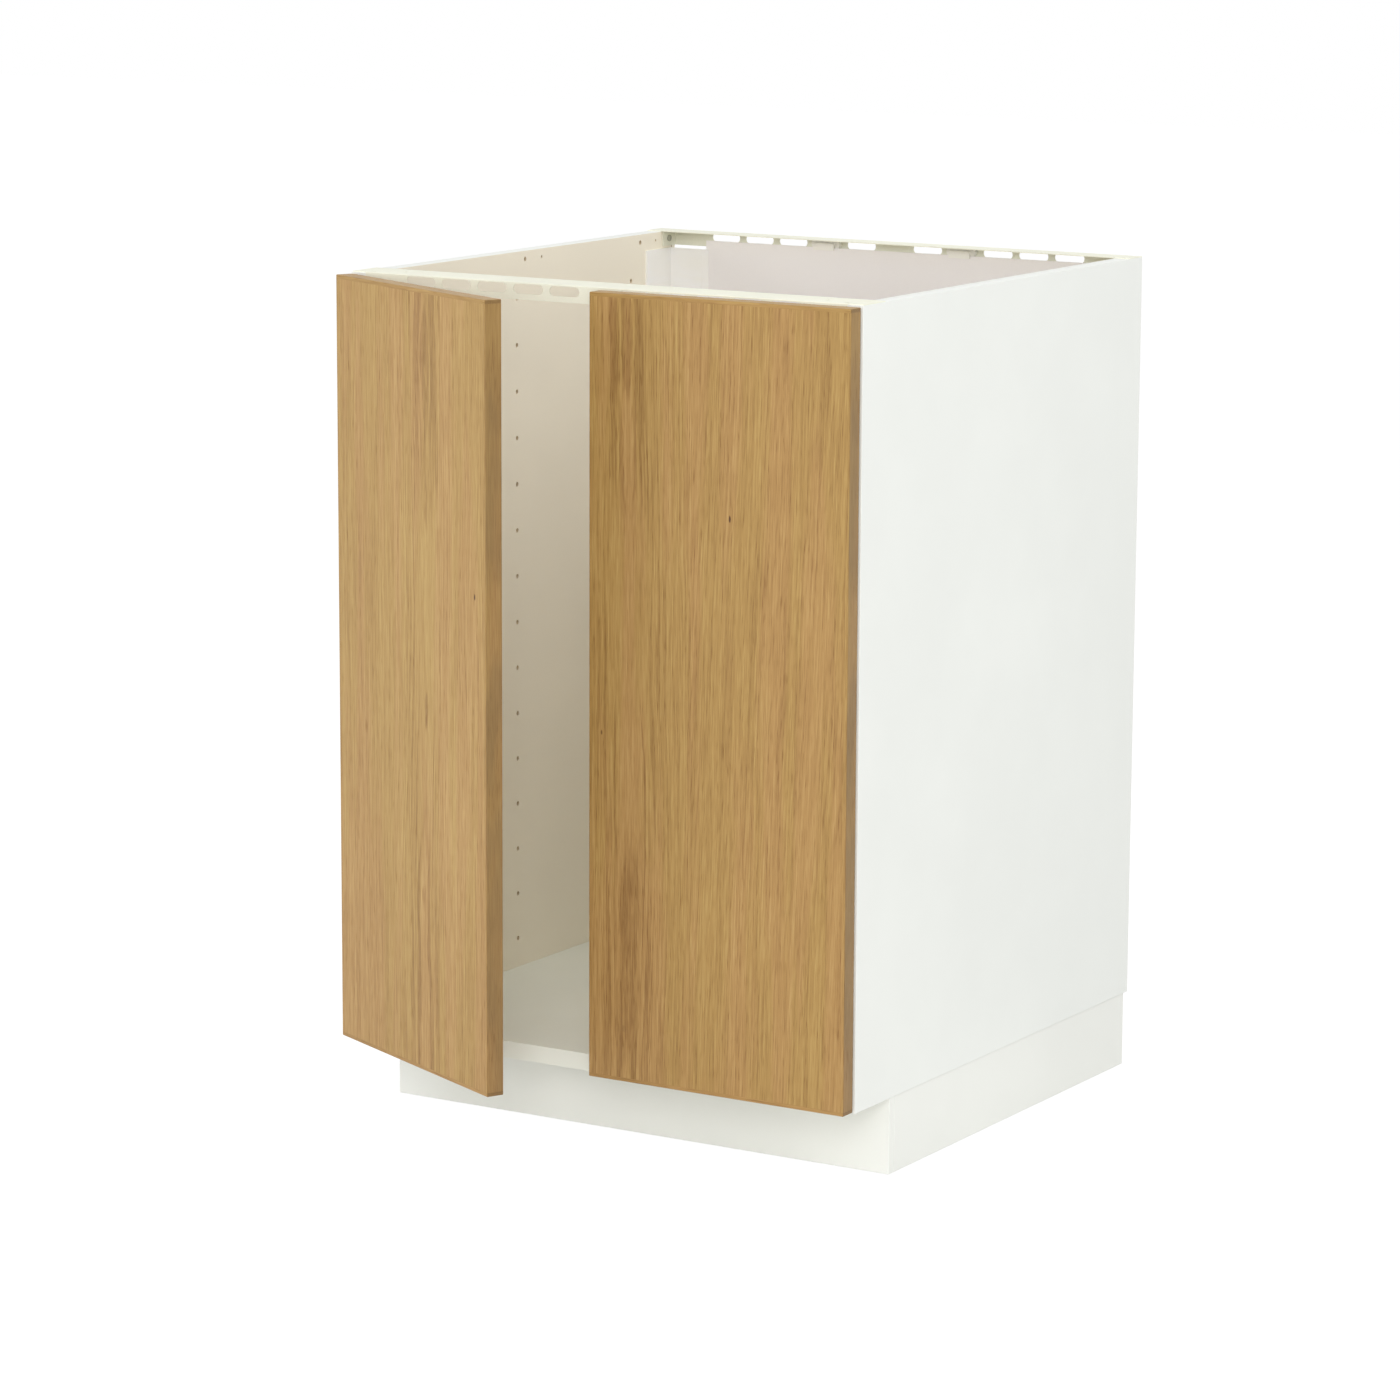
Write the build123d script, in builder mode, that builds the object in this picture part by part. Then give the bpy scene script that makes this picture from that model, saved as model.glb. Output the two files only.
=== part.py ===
from build123d import *
from dataclasses import dataclass
import math
import os

# Sink base cabinet with two doors, in millimetres.
#
# The origin is the centre of the carcass's footprint, on the floor. +Z is up and the doors face -Y.
# Handed pieces are drawn for the left side (-X). The right-hand ones are mirrored from them.

# ---------------------------------------------------------------- driving sizes: carcass
CABINET_WIDTH = 600.0
CABINET_DEPTH = 600.0
CARCASS_HEIGHT = 800.0
PLINTH_HEIGHT = 80.0  # underside of the carcass above the floor
BOARD = 18.0
BOARD_EDGE = 0.4  # eased edge of an edge-banded board
HOLE_RADIUS = 2.5  # system holes in the side panels
SMALL_HOLE_RADIUS = 1.5
HOLE_DEPTH = 12.0
LEG_PILOT_DEPTH = 13.5
HOLE_PITCH = 50.0
END_HOLE = 50.0  # least room between a system hole and the ends of the side panel
FRONT_COLUMN = 50.0  # first column of system holes behind the front edge
COLUMN_PITCH = 229.0
COLUMN_COUNT = 3
TOP_PAIR_DEPTH = 9.0  # bracket holes below the top edge
TOP_PAIR_FRONT = 295.4  # behind the front edge
TOP_PAIR_REAR = 72.9  # ahead of the back edge
TOP_PAIR_PITCH = 32.0
FIT = 0.05  # radial clearance of a pin, dowel or shank in its hole

# ---------------------------------------------------------------- driving sizes: back
SHEET_THICKNESS = 2.0
SHEET_INSET = 6.0  # room between the back sheet and the back edge of the sides
SHEET_TOP_DROP = 9.3  # top edge of the sheet below the top of the sides
SHEET_NOTCH = 46.0  # width of the sheet's open top corners, from the inner face of the sides
SHEET_NOTCH_COVER = 3.0  # how far the strips and the rail's tabs stay clear of the open corner's lower edge
GROOVE_DEPTH = 7.0
GROOVE_CLEARANCE = 0.1
SHEET_END_CLEARANCE = 0.3
NAIL_RADIUS = 0.7
NAIL_HEAD_RADIUS = 1.8
NAIL_HEAD = 0.6
NAIL_LENGTH = 18.0
NAIL_PITCH = 110.0
NAIL_COUNT = 5
STRIP_THICKNESS = 2.0
STRIP_SIDE_LEG = 52.0
STRIP_REAR_LEG = 43.0
STRIP_LIP = 6.0  # sideways run of the slanting lip
STRIP_LIP_ROOT = 0.5  # where the lip leaves the rear leg's back, from the leg's end
STRIP_TO_SHEET = 2.0  # room behind the strip's rear leg
STRIP_TOP_DROP = 19.0
STRIP_PEG_RADIUS = 2.4
STRIP_PEG_LENGTH = 7.0
STRIP_PEG_COUNT = 3

# ---------------------------------------------------------------- driving sizes: rails
RAIL_GAUGE = 1.0
RAIL_DROP = 16.5  # web below the top of the sides
RAIL_END_CLEARANCE = 0.3
RAIL_BEND = 1.2  # outer radius of the fold
FRONT_FLANGE = 44.0
REAR_FLANGE = 30.0
FRONT_FLANGE_SETBACK = 2.5  # where the flange starts over the side panels
RAIL_TAB = 24.0  # length of an end tab from the web
REAR_TAB = 27.0
TAB_RELIEF = 0.5  # air between the top of an end tab and the flange
TAB_FRONT_SCREW = 13.0  # behind the front edge
TAB_REAR_SCREW = 15.0  # ahead of the back edge
SLOT_LENGTH = 35.5
SLOT_HEIGHT = 10.0
SLOT_DROP = 5.75  # centre of the slots below the top of the sides
SLOT_PITCH = 43.2
SLOTS_PER_GROUP = 5
INNER_SLOT = 41.2  # first slot's centre from the middle of the rail
CLIP_SLOT = 1  # index of the slot that holds a clip, counted from the middle
FLANGE_HOLE_RADIUS = 2.5
WORKTOP_HOLE = (248.0, 22.0)  # from the middle, and behind the front edge
TAB_HOLE = (277.0, 8.5)
CLIP_WIDTH = 25.0
CLIP_HOOK_DROP = 12.0  # lower edge of the hook below the top of the sides
CLIP_HOOK_TOP = 4.3  # upper edge of the hook, below the same
CLIP_WALL = 2.0
CLIP_CLEARANCE = 0.2

# ---------------------------------------------------------------- driving sizes: joints of the carcass
DOWEL_RADIUS = 4.0
DOWEL_LENGTH = 30.0
DOWEL_IN_SIDE = 11.0
CAM_RADIUS = 7.5
CAM_DEPTH = 13.0
CAM_INSET = 24.0
CAM_BOLT_RADIUS = 3.0
CAM_BOLT_THREAD = 2.5
CAM_BOLT_HEAD = 2.0
CAM_FRONT = 60.0  # behind the front edge
CAM_REAR = 92.0  # ahead of the back edge
DOWEL_FROM_CAM = 32.0
DOWEL_END_ROOM = 1.0
DOWEL_END_EASE = 0.6
CAM_BOLT_LENGTH_IN_SIDE = 11.0
CAM_RECESS = 1.5

# ---------------------------------------------------------------- driving sizes: plinth and legs
PLINTH_BOARD = 10.0
PLINTH_SETBACK = 73.7
PLINTH_SIDE_INSET = 2.0
PLINTH_REAR_INSET = 5.4
PLINTH_TOP_GAP = 0.5
LEG_REACH = 40.0  # leg's axis from the inner face of a plinth board
REAR_LEG = 60.0  # leg's axis ahead of the back edge
SOCKET_PLATE = 60.0
SOCKET_PLATE_THICKNESS = 4.0
SOCKET_RADIUS = 16.0
SOCKET_PLATE_CORNER = 6.0
SOCKET_BORE = 10.0
SOCKET_BOTTOM = 14.0
LEG_SCREW_PITCH = 44.0
FOOT_RADIUS = 22.0
FOOT_HEIGHT = 8.0
FOOT_STEM = 55.0
FOOT_GRIP_RADIUS = 15.0
FOOT_GRIP = 4.0
FOOT_ROUND = 1.5
CLIP_RING = 2.4
CLIP_HEIGHT = 16.0
CLIP_BASE = 30.0
CLIP_LEVELS = (24.0, 46.0)  # underside of the front and of the side clips
CLIP_MOUTH = 22.0
CLIP_STEM = 8.0

# ---------------------------------------------------------------- driving sizes: doors
DOOR_THICKNESS = 19.0
DOOR_MARGIN = 1.5  # between a door's edges and the cabinet's outline or middle
DOOR_GAP = 2.0  # between the closed door and the front edge of the sides
DOOR_EDGING = 4.0
DOOR_EASE = 1.0
EDGING_JOINT = 0.05
DOOR_AJAR = 25.6  # the left door, as it stands
BUMPER_RADIUS = 4.0
BUMPER_AIR = 0.1
BUMPER_ROUND = 0.6
BUMPER_INSET = 12.0  # from the free edge
BUMPER_FROM_END = 8.0

# ---------------------------------------------------------------- driving sizes: hinges
# Pivots of the closed hinge, as (from the hinge edge, into the door from its back face).
OUTER_ARM_PIVOT = (34.7, 9.1)
INNER_ARM_PIVOT = (21.9, 8.8)
OUTER_CUP_PIVOT = (14.0, 0.4)
INNER_CUP_PIVOT = (11.6, 2.5)
OUTER_LINK_RATE = -0.48  # link's turn for each degree of the door, against the door's own
INNER_LINK_RATE = -0.68
HINGE_HOLE_STEPS = 1.5  # hinge's middle from the last system hole, in hole pitches
PIN_RADIUS = 1.0
LINK_PLAY = 0.95  # radial play of the inner link on its cup pin
OUTER_LINK_HALF = 3.2
LUG_LAYER = (3.5, 4.7)  # arm cheeks and cup lugs, from the hinge's middle plane
INNER_LINK_LAYER = (5.0, 6.2)
POCKET_HALF = 6.6
OUTER_LINK_EYES = (2.2, 1.9)
INNER_LINK_EYES = (1.9, 2.75)
INNER_LINK_WIDTH = 3.2
INNER_LINK_SAGITTA = 2.8
NOSE_RADIUS = 1.8
CUP_RADIUS = 17.5
CUP_EDGE = 5.0
CUP_DEPTH = 13.0
CUP_WALL = 0.6
CUP_FLOOR = 0.8
CUP_CLEARANCE = 0.05
WING_OFFSET = 9.5
WING_WIDTH = 16.0
WING_LENGTH = 66.0
WING_THICKNESS = 1.2
WING_CORNER = 4.0
WING_SCREW_PITCH = 52.0
CUP_PIN_REACH = 9.5
ARM_GAUGE = 1.2
ARM_HALF = 7.5
ARM_HEIGHT = 15.0  # over the side panel's inner face
ARM_SHOULDER = 24.0  # behind the front edge, where the arm lies on its plate
ARM_END = 84.0
ARM_NOSE_WEB = 3.0
ARM_WIDE_START = 8.0
ARM_NOSE_END = 14.0
ARM_SCREW_PLACES = (34.0, 66.0)
PLATE_THICKNESS = 2.0
PLATE_WIDTH = 18.0
PLATE_LENGTH = 64.0
PLATE_CORNER = 3.0
PLATE_RAIL = 8.0
PLATE_RAIL_HALF = 5.9
PLATE_RAIL_ENDS = (26.0, 80.0)


@dataclass(frozen=True)
class Screw:
    """Pan-head screw with a cross recess."""

    shank_radius: float
    length: float
    head_radius: float
    head_height: float


RAIL_SCREW = Screw(shank_radius=1.9, length=13.0, head_radius=3.5, head_height=1.6)
LEG_SCREW = Screw(shank_radius=1.7, length=16.0, head_radius=3.2, head_height=1.6)
PLATE_SCREW = Screw(shank_radius=HOLE_RADIUS - FIT, length=13.0, head_radius=4.2, head_height=1.6)
ARM_SCREW = Screw(shank_radius=2.0, length=10.0, head_radius=3.6, head_height=1.8)
CUP_SCREW = Screw(shank_radius=1.6, length=12.0, head_radius=3.2, head_height=1.4)
RECESS_WIDTH = 0.9
RECESS_DEPTH = 0.9
RECESS_SHARE = 1.2  # length of a cross recess over the radius of its head


@dataclass(frozen=True)
class Side:
    """One side of the cabinet, and how far its door stands open."""

    name: str
    ajar: float


LEFT = Side("left", DOOR_AJAR)
RIGHT = Side("right", 0.0)

# ---------------------------------------------------------------- sizes that follow
OUTER = CABINET_WIDTH / 2
INNER = OUTER - BOARD
FRONT = -CABINET_DEPTH / 2
BACK = CABINET_DEPTH / 2
TOP = PLINTH_HEIGHT + CARCASS_HEIGHT
FLOOR_TOP = PLINTH_HEIGHT + BOARD
FLOOR_MIDDLE = PLINTH_HEIGHT + BOARD / 2

SHEET_FRONT = BACK - SHEET_INSET - SHEET_THICKNESS
SHEET_BACK = BACK - SHEET_INSET
SHEET_TOP = TOP - SHEET_TOP_DROP
STRIP_TOP = TOP - STRIP_TOP_DROP
STRIP_REAR = SHEET_FRONT - STRIP_TO_SHEET
STRIP_FRONT = STRIP_REAR - STRIP_SIDE_LEG
STRIP_PEG_PLACE = (STRIP_FRONT + STRIP_REAR) / 2
STRIP_HEIGHT = STRIP_TOP - FLOOR_TOP
STRIP_PEG_SHARES = [(2 * step + 1) / (2 * STRIP_PEG_COUNT) for step in range(STRIP_PEG_COUNT)]
STRIP_PEG_HEIGHTS = [FLOOR_TOP + STRIP_HEIGHT * share for share in STRIP_PEG_SHARES]

RAIL_BOTTOM = TOP - RAIL_DROP
RAIL_END = INNER - RAIL_END_CLEARANCE
FLANGE_END = OUTER - RAIL_END_CLEARANCE
SLOT_MIDDLE = TOP - SLOT_DROP
SLOT_PLACES = [INNER_SLOT + SLOT_PITCH * step for step in range(SLOTS_PER_GROUP)]
TAB_SCREW_HEIGHT = (RAIL_BOTTOM + TOP) / 2
TAB_SCREW_PLACES = (FRONT + TAB_FRONT_SCREW, BACK - TAB_REAR_SCREW)

PLINTH_FRONT = FRONT + PLINTH_SETBACK
PLINTH_INSIDE = PLINTH_FRONT + PLINTH_BOARD
PLINTH_END = OUTER - PLINTH_SIDE_INSET
PLINTH_REAR = BACK - PLINTH_REAR_INSET
PLINTH_TOP = PLINTH_HEIGHT - PLINTH_TOP_GAP
LEG_X = PLINTH_END - PLINTH_BOARD - LEG_REACH
LEG_ROWS = (PLINTH_INSIDE + LEG_REACH, BACK - REAR_LEG)
LEG_PLACES = [(x, y) for y in LEG_ROWS for x in (-LEG_X, LEG_X)]

DOOR_WIDTH = CABINET_WIDTH / 2 - 2 * DOOR_MARGIN
DOOR_BOTTOM = PLINTH_HEIGHT + DOOR_MARGIN
DOOR_TOP = TOP - DOOR_MARGIN
CAM_PLACES = (CAM_FRONT, CABINET_DEPTH - CAM_REAR)  # behind the front edge
TOP_PAIR_PLACES = (TOP_PAIR_FRONT, CABINET_DEPTH - TOP_PAIR_REAR)  # behind the front edge
FIRST_HOLE = PLINTH_HEIGHT + END_HOLE
HOLE_COUNT = int((TOP - END_HOLE - FIRST_HOLE) / HOLE_PITCH + 1)
LAST_HOLE = FIRST_HOLE + (HOLE_COUNT - 1) * HOLE_PITCH
HINGE_HEIGHTS = (FIRST_HOLE + HINGE_HOLE_STEPS * HOLE_PITCH, LAST_HOLE - HINGE_HOLE_STEPS * HOLE_PITCH)
CUP_MIDDLE = CUP_EDGE + CUP_RADIUS
POCKET_RADIUS = CUP_RADIUS - CUP_WALL
POCKET_DEPTH = CUP_DEPTH - CUP_FLOOR
ARM_BASE = -INNER + PLATE_THICKNESS
ARM_OUTSIDE = -INNER + ARM_HEIGHT

# Inner face of the left side panel: local x runs back, local y up, and it faces the room between the sides.
INSIDE_LEFT = Plane(origin=(-INNER, 0, 0), x_dir=(0, 1, 0), z_dir=(1, 0, 0))


def fill(x_span, y_span, mode=Mode.ADD):
    """Rectangle between two pairs of limits, in the sketch that is open."""
    with Locations(((x_span[0] + x_span[1]) / 2, (y_span[0] + y_span[1]) / 2)):
        Rectangle(x_span[1] - x_span[0], y_span[1] - y_span[0], mode=mode)


def add_screw(seat, screw):
    """Screw in the part that is open; the seat plane lies under its head and faces out."""
    bottom = (Align.CENTER, Align.CENTER, Align.MIN)
    top = (Align.CENTER, Align.CENTER, Align.MAX)
    with Locations(seat.location):
        Cylinder(screw.head_radius, screw.head_height, align=bottom)
        Cylinder(screw.shank_radius, screw.length, align=top)
    with Locations(seat.offset(screw.head_height).location):
        Box(screw.head_radius * RECESS_SHARE, RECESS_WIDTH, RECESS_DEPTH, align=top, mode=Mode.SUBTRACT)
        Box(RECESS_WIDTH, screw.head_radius * RECESS_SHARE, RECESS_DEPTH, align=top, mode=Mode.SUBTRACT)


def turn_to(side):
    """Mirror the part that is open when it belongs on the right."""
    if side is RIGHT:
        mirror(about=Plane.YZ, mode=Mode.REPLACE)


def save(piece, node):
    """Label a finished part and write its file."""
    piece.part.label = node
    export_step(piece.part, f"parts/{node}.step")


# ---------------------------------------------------------------- the hinge's linkage
def closed_place(pivot):
    """Pivot of the closed left-hand hinge in the cabinet's plan."""
    return Vector(-OUTER + DOOR_MARGIN + pivot[0], FRONT - DOOR_GAP - pivot[1])


def swing(point, centre, degrees):
    """Turn a point of the plan about a centre, clockwise from above."""
    return centre + (point - centre).rotate(Axis.Z, -degrees)


@dataclass(frozen=True)
class HingePose:
    """Plan of the left-hand hinge with its door open by an angle."""

    outer_end: Vector
    inner_end: Vector
    door: Plane


def hinge_pose(angle):
    """Four-bar linkage: the outer link carries the door, the inner link steers it."""
    outer_arm = closed_place(OUTER_ARM_PIVOT)
    inner_arm = closed_place(INNER_ARM_PIVOT)
    closed_outer_end = closed_place(OUTER_CUP_PIVOT)
    outer_end = swing(closed_outer_end, outer_arm, OUTER_LINK_RATE * angle)
    inner_end = swing(closed_place(INNER_CUP_PIVOT), inner_arm, INNER_LINK_RATE * angle)
    closed_corner = closed_place((0, 0))
    corner = outer_end + (closed_corner - closed_outer_end).rotate(Axis.Z, -angle)
    along = Vector(1, 0, 0).rotate(Axis.Z, -angle)
    return HingePose(outer_end, inner_end, Plane(origin=corner, x_dir=along, z_dir=(0, 0, 1)))


def door_plane(side):
    """Plan plane of a door: local x from its hinge edge, local y from its back face to the cabinet."""
    return hinge_pose(side.ajar).door


def cup_plane(side, height):
    """Plane on the door's back face at a cup, facing into the door; local y points up."""
    door = door_plane(side)
    origin = door.from_local_coords(Vector(CUP_MIDDLE, 0, height))
    return Plane(origin=origin, x_dir=door.x_dir, z_dir=-door.y_dir)


def both_ways(layer):
    """A layer above and below a hinge's middle plane, as (start, thickness) pairs."""
    return ((layer[0], layer[1] - layer[0]), (-layer[1], layer[1] - layer[0]))


# ---------------------------------------------------------------- carcass boards
def make_side_panel(side):
    with BuildPart() as side_panel:
        with BuildSketch(Plane.XY.offset(PLINTH_HEIGHT)):
            fill((-OUTER, -INNER), (FRONT, BACK))
        extrude(amount=CARCASS_HEIGHT)
        chamfer(side_panel.edges(), BOARD_EDGE)
        with BuildSketch(Plane.XY.offset(PLINTH_HEIGHT)):
            groove = (SHEET_FRONT - GROOVE_CLEARANCE, SHEET_BACK + GROOVE_CLEARANCE)
            fill((-INNER - GROOVE_DEPTH, -INNER), groove)
        extrude(amount=CARCASS_HEIGHT, mode=Mode.SUBTRACT)
        with BuildSketch(INSIDE_LEFT):
            for column in range(COLUMN_COUNT):
                with Locations((FRONT + FRONT_COLUMN + column * COLUMN_PITCH, (FIRST_HOLE + LAST_HOLE) / 2)):
                    with GridLocations(0, HOLE_PITCH, 1, HOLE_COUNT):
                        Circle(HOLE_RADIUS)
            for place in TOP_PAIR_PLACES:
                with Locations((FRONT + place, TOP - TOP_PAIR_DEPTH)):
                    Circle(HOLE_RADIUS)
                with Locations((FRONT + place + TOP_PAIR_PITCH, TOP - TOP_PAIR_DEPTH)):
                    Circle(SMALL_HOLE_RADIUS)
            for place in CAM_PLACES:
                with Locations((FRONT + place, FLOOR_MIDDLE)):
                    Circle(CAM_BOLT_THREAD + FIT)
                with Locations((FRONT + place + DOWEL_FROM_CAM, FLOOR_MIDDLE)):
                    Circle(DOWEL_RADIUS + FIT)
        extrude(amount=-HOLE_DEPTH, mode=Mode.SUBTRACT)
        with BuildSketch(INSIDE_LEFT):
            for height in STRIP_PEG_HEIGHTS:
                with Locations((STRIP_PEG_PLACE, height)):
                    Circle(STRIP_PEG_RADIUS + FIT)
            for place in TAB_SCREW_PLACES:
                with Locations((place, TAB_SCREW_HEIGHT)):
                    Circle(RAIL_SCREW.shank_radius + FIT)
        extrude(amount=-HOLE_DEPTH, mode=Mode.SUBTRACT)
        turn_to(side)
    return side_panel


with BuildPart() as floor_bores:
    for place in CAM_PLACES:
        with BuildSketch(INSIDE_LEFT):
            with Locations((FRONT + place, FLOOR_MIDDLE)):
                Circle(CAM_BOLT_RADIUS + FIT)
        extrude(amount=CAM_INSET)
        with BuildSketch(INSIDE_LEFT):
            with Locations((FRONT + place + DOWEL_FROM_CAM, FLOOR_MIDDLE)):
                Circle(DOWEL_RADIUS + FIT)
        extrude(amount=DOWEL_LENGTH - DOWEL_IN_SIDE + DOWEL_END_ROOM)
        with BuildSketch(Plane.XY.offset(PLINTH_HEIGHT)):
            with Locations((-INNER + CAM_INSET, FRONT + place)):
                Circle(CAM_RADIUS + FIT)
        extrude(amount=CAM_DEPTH + FIT)
    mirror(about=Plane.YZ)

with BuildPart() as bottom_panel:
    with BuildSketch(Plane.XY.offset(PLINTH_HEIGHT)):
        fill((-INNER, INNER), (FRONT, SHEET_FRONT))
    extrude(amount=BOARD)
    chamfer(bottom_panel.edges(), BOARD_EDGE)
    add(floor_bores.part, mode=Mode.SUBTRACT)
    with BuildSketch(Plane.XY.offset(PLINTH_HEIGHT)):
        for place in LEG_PLACES:
            with Locations(place):
                with GridLocations(LEG_SCREW_PITCH, LEG_SCREW_PITCH, 2, 2):
                    Circle(LEG_SCREW.shank_radius + FIT)
    extrude(amount=LEG_PILOT_DEPTH, mode=Mode.SUBTRACT)
    with BuildSketch(Plane.XZ.offset(-SHEET_FRONT)):
        with Locations((0, FLOOR_MIDDLE)):
            with GridLocations(NAIL_PITCH, 0, NAIL_COUNT, 1):
                Circle(NAIL_RADIUS + FIT)
    extrude(amount=NAIL_LENGTH, mode=Mode.SUBTRACT)


# ---------------------------------------------------------------- fittings inside the boards
with BuildPart() as frame_dowels:
    for place in CAM_PLACES:
        with BuildSketch(INSIDE_LEFT.offset(-DOWEL_IN_SIDE)):
            with Locations((FRONT + place + DOWEL_FROM_CAM, FLOOR_MIDDLE)):
                Circle(DOWEL_RADIUS)
        extrude(amount=DOWEL_LENGTH)
    chamfer(frame_dowels.edges(), DOWEL_END_EASE)
    mirror(about=Plane.YZ)

with BuildPart() as cam_bolts:
    for place in CAM_PLACES:
        with BuildSketch(INSIDE_LEFT.offset(-CAM_BOLT_LENGTH_IN_SIDE)):
            with Locations((FRONT + place, FLOOR_MIDDLE)):
                Circle(CAM_BOLT_THREAD)
        extrude(amount=CAM_BOLT_LENGTH_IN_SIDE)
        with BuildSketch(INSIDE_LEFT):
            with Locations((FRONT + place, FLOOR_MIDDLE)):
                Circle(CAM_BOLT_RADIUS)
        extrude(amount=CAM_INSET - CAM_BOLT_HEAD)
    mirror(about=Plane.YZ)

with BuildPart() as cam_locks:
    for place in CAM_PLACES:
        with BuildSketch(Plane.XY.offset(PLINTH_HEIGHT + BOARD_EDGE)):
            with Locations((-INNER + CAM_INSET, FRONT + place)):
                Circle(CAM_RADIUS)
        extrude(amount=CAM_DEPTH - BOARD_EDGE)
        with BuildSketch(INSIDE_LEFT):
            with Locations((FRONT + place, FLOOR_MIDDLE)):
                Circle(CAM_BOLT_RADIUS + FIT)
        extrude(amount=CAM_INSET, mode=Mode.SUBTRACT)
        with BuildSketch(Plane.XY.offset(PLINTH_HEIGHT + BOARD_EDGE)):
            with Locations((-INNER + CAM_INSET, FRONT + place)):
                Rectangle(CAM_RADIUS * RECESS_SHARE, RECESS_WIDTH)
                Rectangle(RECESS_WIDTH, CAM_RADIUS * RECESS_SHARE)
        extrude(amount=CAM_RECESS, mode=Mode.SUBTRACT)
    mirror(about=Plane.YZ)


# ---------------------------------------------------------------- back of the carcass
with BuildPart() as back_panel:
    sheet_end = INNER + GROOVE_DEPTH - SHEET_END_CLEARANCE
    with BuildSketch(Plane.XY.offset(PLINTH_HEIGHT)):
        fill((-sheet_end, sheet_end), (SHEET_FRONT, SHEET_BACK))
    extrude(amount=SHEET_TOP - PLINTH_HEIGHT)
    notch_bottom = min(STRIP_TOP, RAIL_BOTTOM) - SHEET_NOTCH_COVER
    with BuildSketch(Plane.XY.offset(notch_bottom)):
        for notch in ((-sheet_end, SHEET_NOTCH - INNER), (INNER - SHEET_NOTCH, sheet_end)):
            fill(notch, (SHEET_FRONT, SHEET_BACK))
    extrude(amount=SHEET_TOP - notch_bottom, mode=Mode.SUBTRACT)
    with BuildSketch(Plane.XZ.offset(-SHEET_BACK)):
        with Locations((0, FLOOR_MIDDLE)):
            with GridLocations(NAIL_PITCH, 0, NAIL_COUNT, 1):
                Circle(NAIL_RADIUS + FIT)
    extrude(amount=SHEET_THICKNESS, mode=Mode.SUBTRACT)

with BuildPart() as back_panel_nails:
    for radius, start, length in (
        (NAIL_RADIUS, SHEET_BACK, NAIL_LENGTH),
        (NAIL_HEAD_RADIUS, SHEET_BACK + NAIL_HEAD, NAIL_HEAD),
    ):
        with BuildSketch(Plane.XZ.offset(-start)):
            with Locations((0, FLOOR_MIDDLE)):
                with GridLocations(NAIL_PITCH, 0, NAIL_COUNT, 1):
                    Circle(radius)
        extrude(amount=length)


def make_back_strip(side):
    with BuildPart() as back_strip:
        corner = -INNER + STRIP_REAR_LEG
        with BuildSketch(Plane.XY.offset(FLOOR_TOP)):
            with BuildLine():
                Polyline(
                    (-INNER, STRIP_FRONT),
                    (-INNER + STRIP_THICKNESS, STRIP_FRONT),
                    (-INNER + STRIP_THICKNESS, STRIP_REAR - STRIP_THICKNESS),
                    (corner, STRIP_REAR - STRIP_THICKNESS),
                    (corner + STRIP_LIP, SHEET_FRONT),
                    (corner + STRIP_LIP - STRIP_THICKNESS, SHEET_FRONT),
                    (corner - STRIP_LIP_ROOT, STRIP_REAR),
                    (-INNER, STRIP_REAR),
                    close=True,
                )
            make_face()
        extrude(amount=STRIP_HEIGHT)
        with BuildSketch(INSIDE_LEFT):
            for height in STRIP_PEG_HEIGHTS:
                with Locations((STRIP_PEG_PLACE, height)):
                    Circle(STRIP_PEG_RADIUS)
        extrude(amount=-STRIP_PEG_LENGTH)
        turn_to(side)
    return back_strip


# ---------------------------------------------------------------- folded steel rails
with BuildPart() as front_rail:
    with BuildSketch(Plane.XY.offset(TOP)):
        fill((-RAIL_END, RAIL_END), (FRONT, FRONT + FRONT_FLANGE))
        fill((-FLANGE_END, FLANGE_END), (FRONT + FRONT_FLANGE_SETBACK, FRONT + FRONT_FLANGE))
        for end in (-1, 1):
            with Locations((end * WORKTOP_HOLE[0], FRONT + WORKTOP_HOLE[1])):
                Circle(FLANGE_HOLE_RADIUS, mode=Mode.SUBTRACT)
            with Locations((end * TAB_HOLE[0], FRONT + TAB_HOLE[1])):
                Circle(FLANGE_HOLE_RADIUS, mode=Mode.SUBTRACT)
    extrude(amount=RAIL_GAUGE)
    with BuildSketch(Plane.XY.offset(RAIL_BOTTOM)):
        fill((-RAIL_END, RAIL_END), (FRONT, FRONT + RAIL_GAUGE))
    extrude(amount=RAIL_DROP)
    with BuildSketch(Plane.XY.offset(RAIL_BOTTOM)):
        for start in (-RAIL_END, RAIL_END - RAIL_GAUGE):
            fill((start, start + RAIL_GAUGE), (FRONT, FRONT + RAIL_TAB))
    extrude(amount=RAIL_DROP - TAB_RELIEF)
    with BuildSketch(Plane.XZ.offset(-FRONT - RAIL_GAUGE)):
        for end in (-1, 1):
            with Locations(*[(end * place, SLOT_MIDDLE) for place in SLOT_PLACES]):
                SlotOverall(SLOT_LENGTH, SLOT_HEIGHT)
    extrude(amount=RAIL_GAUGE, mode=Mode.SUBTRACT)
    for start in (-RAIL_END, RAIL_END - RAIL_GAUGE):
        with BuildSketch(Plane.YZ.offset(start)):
            with Locations((FRONT + TAB_FRONT_SCREW, TAB_SCREW_HEIGHT)):
                Circle(RAIL_SCREW.shank_radius + FIT)
        extrude(amount=RAIL_GAUGE, mode=Mode.SUBTRACT)
    fold = front_rail.edges().filter_by(Axis.X).group_by(Axis.Z)[-1].group_by(Axis.Y)[0]
    fillet(fold, RAIL_BEND)

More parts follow.
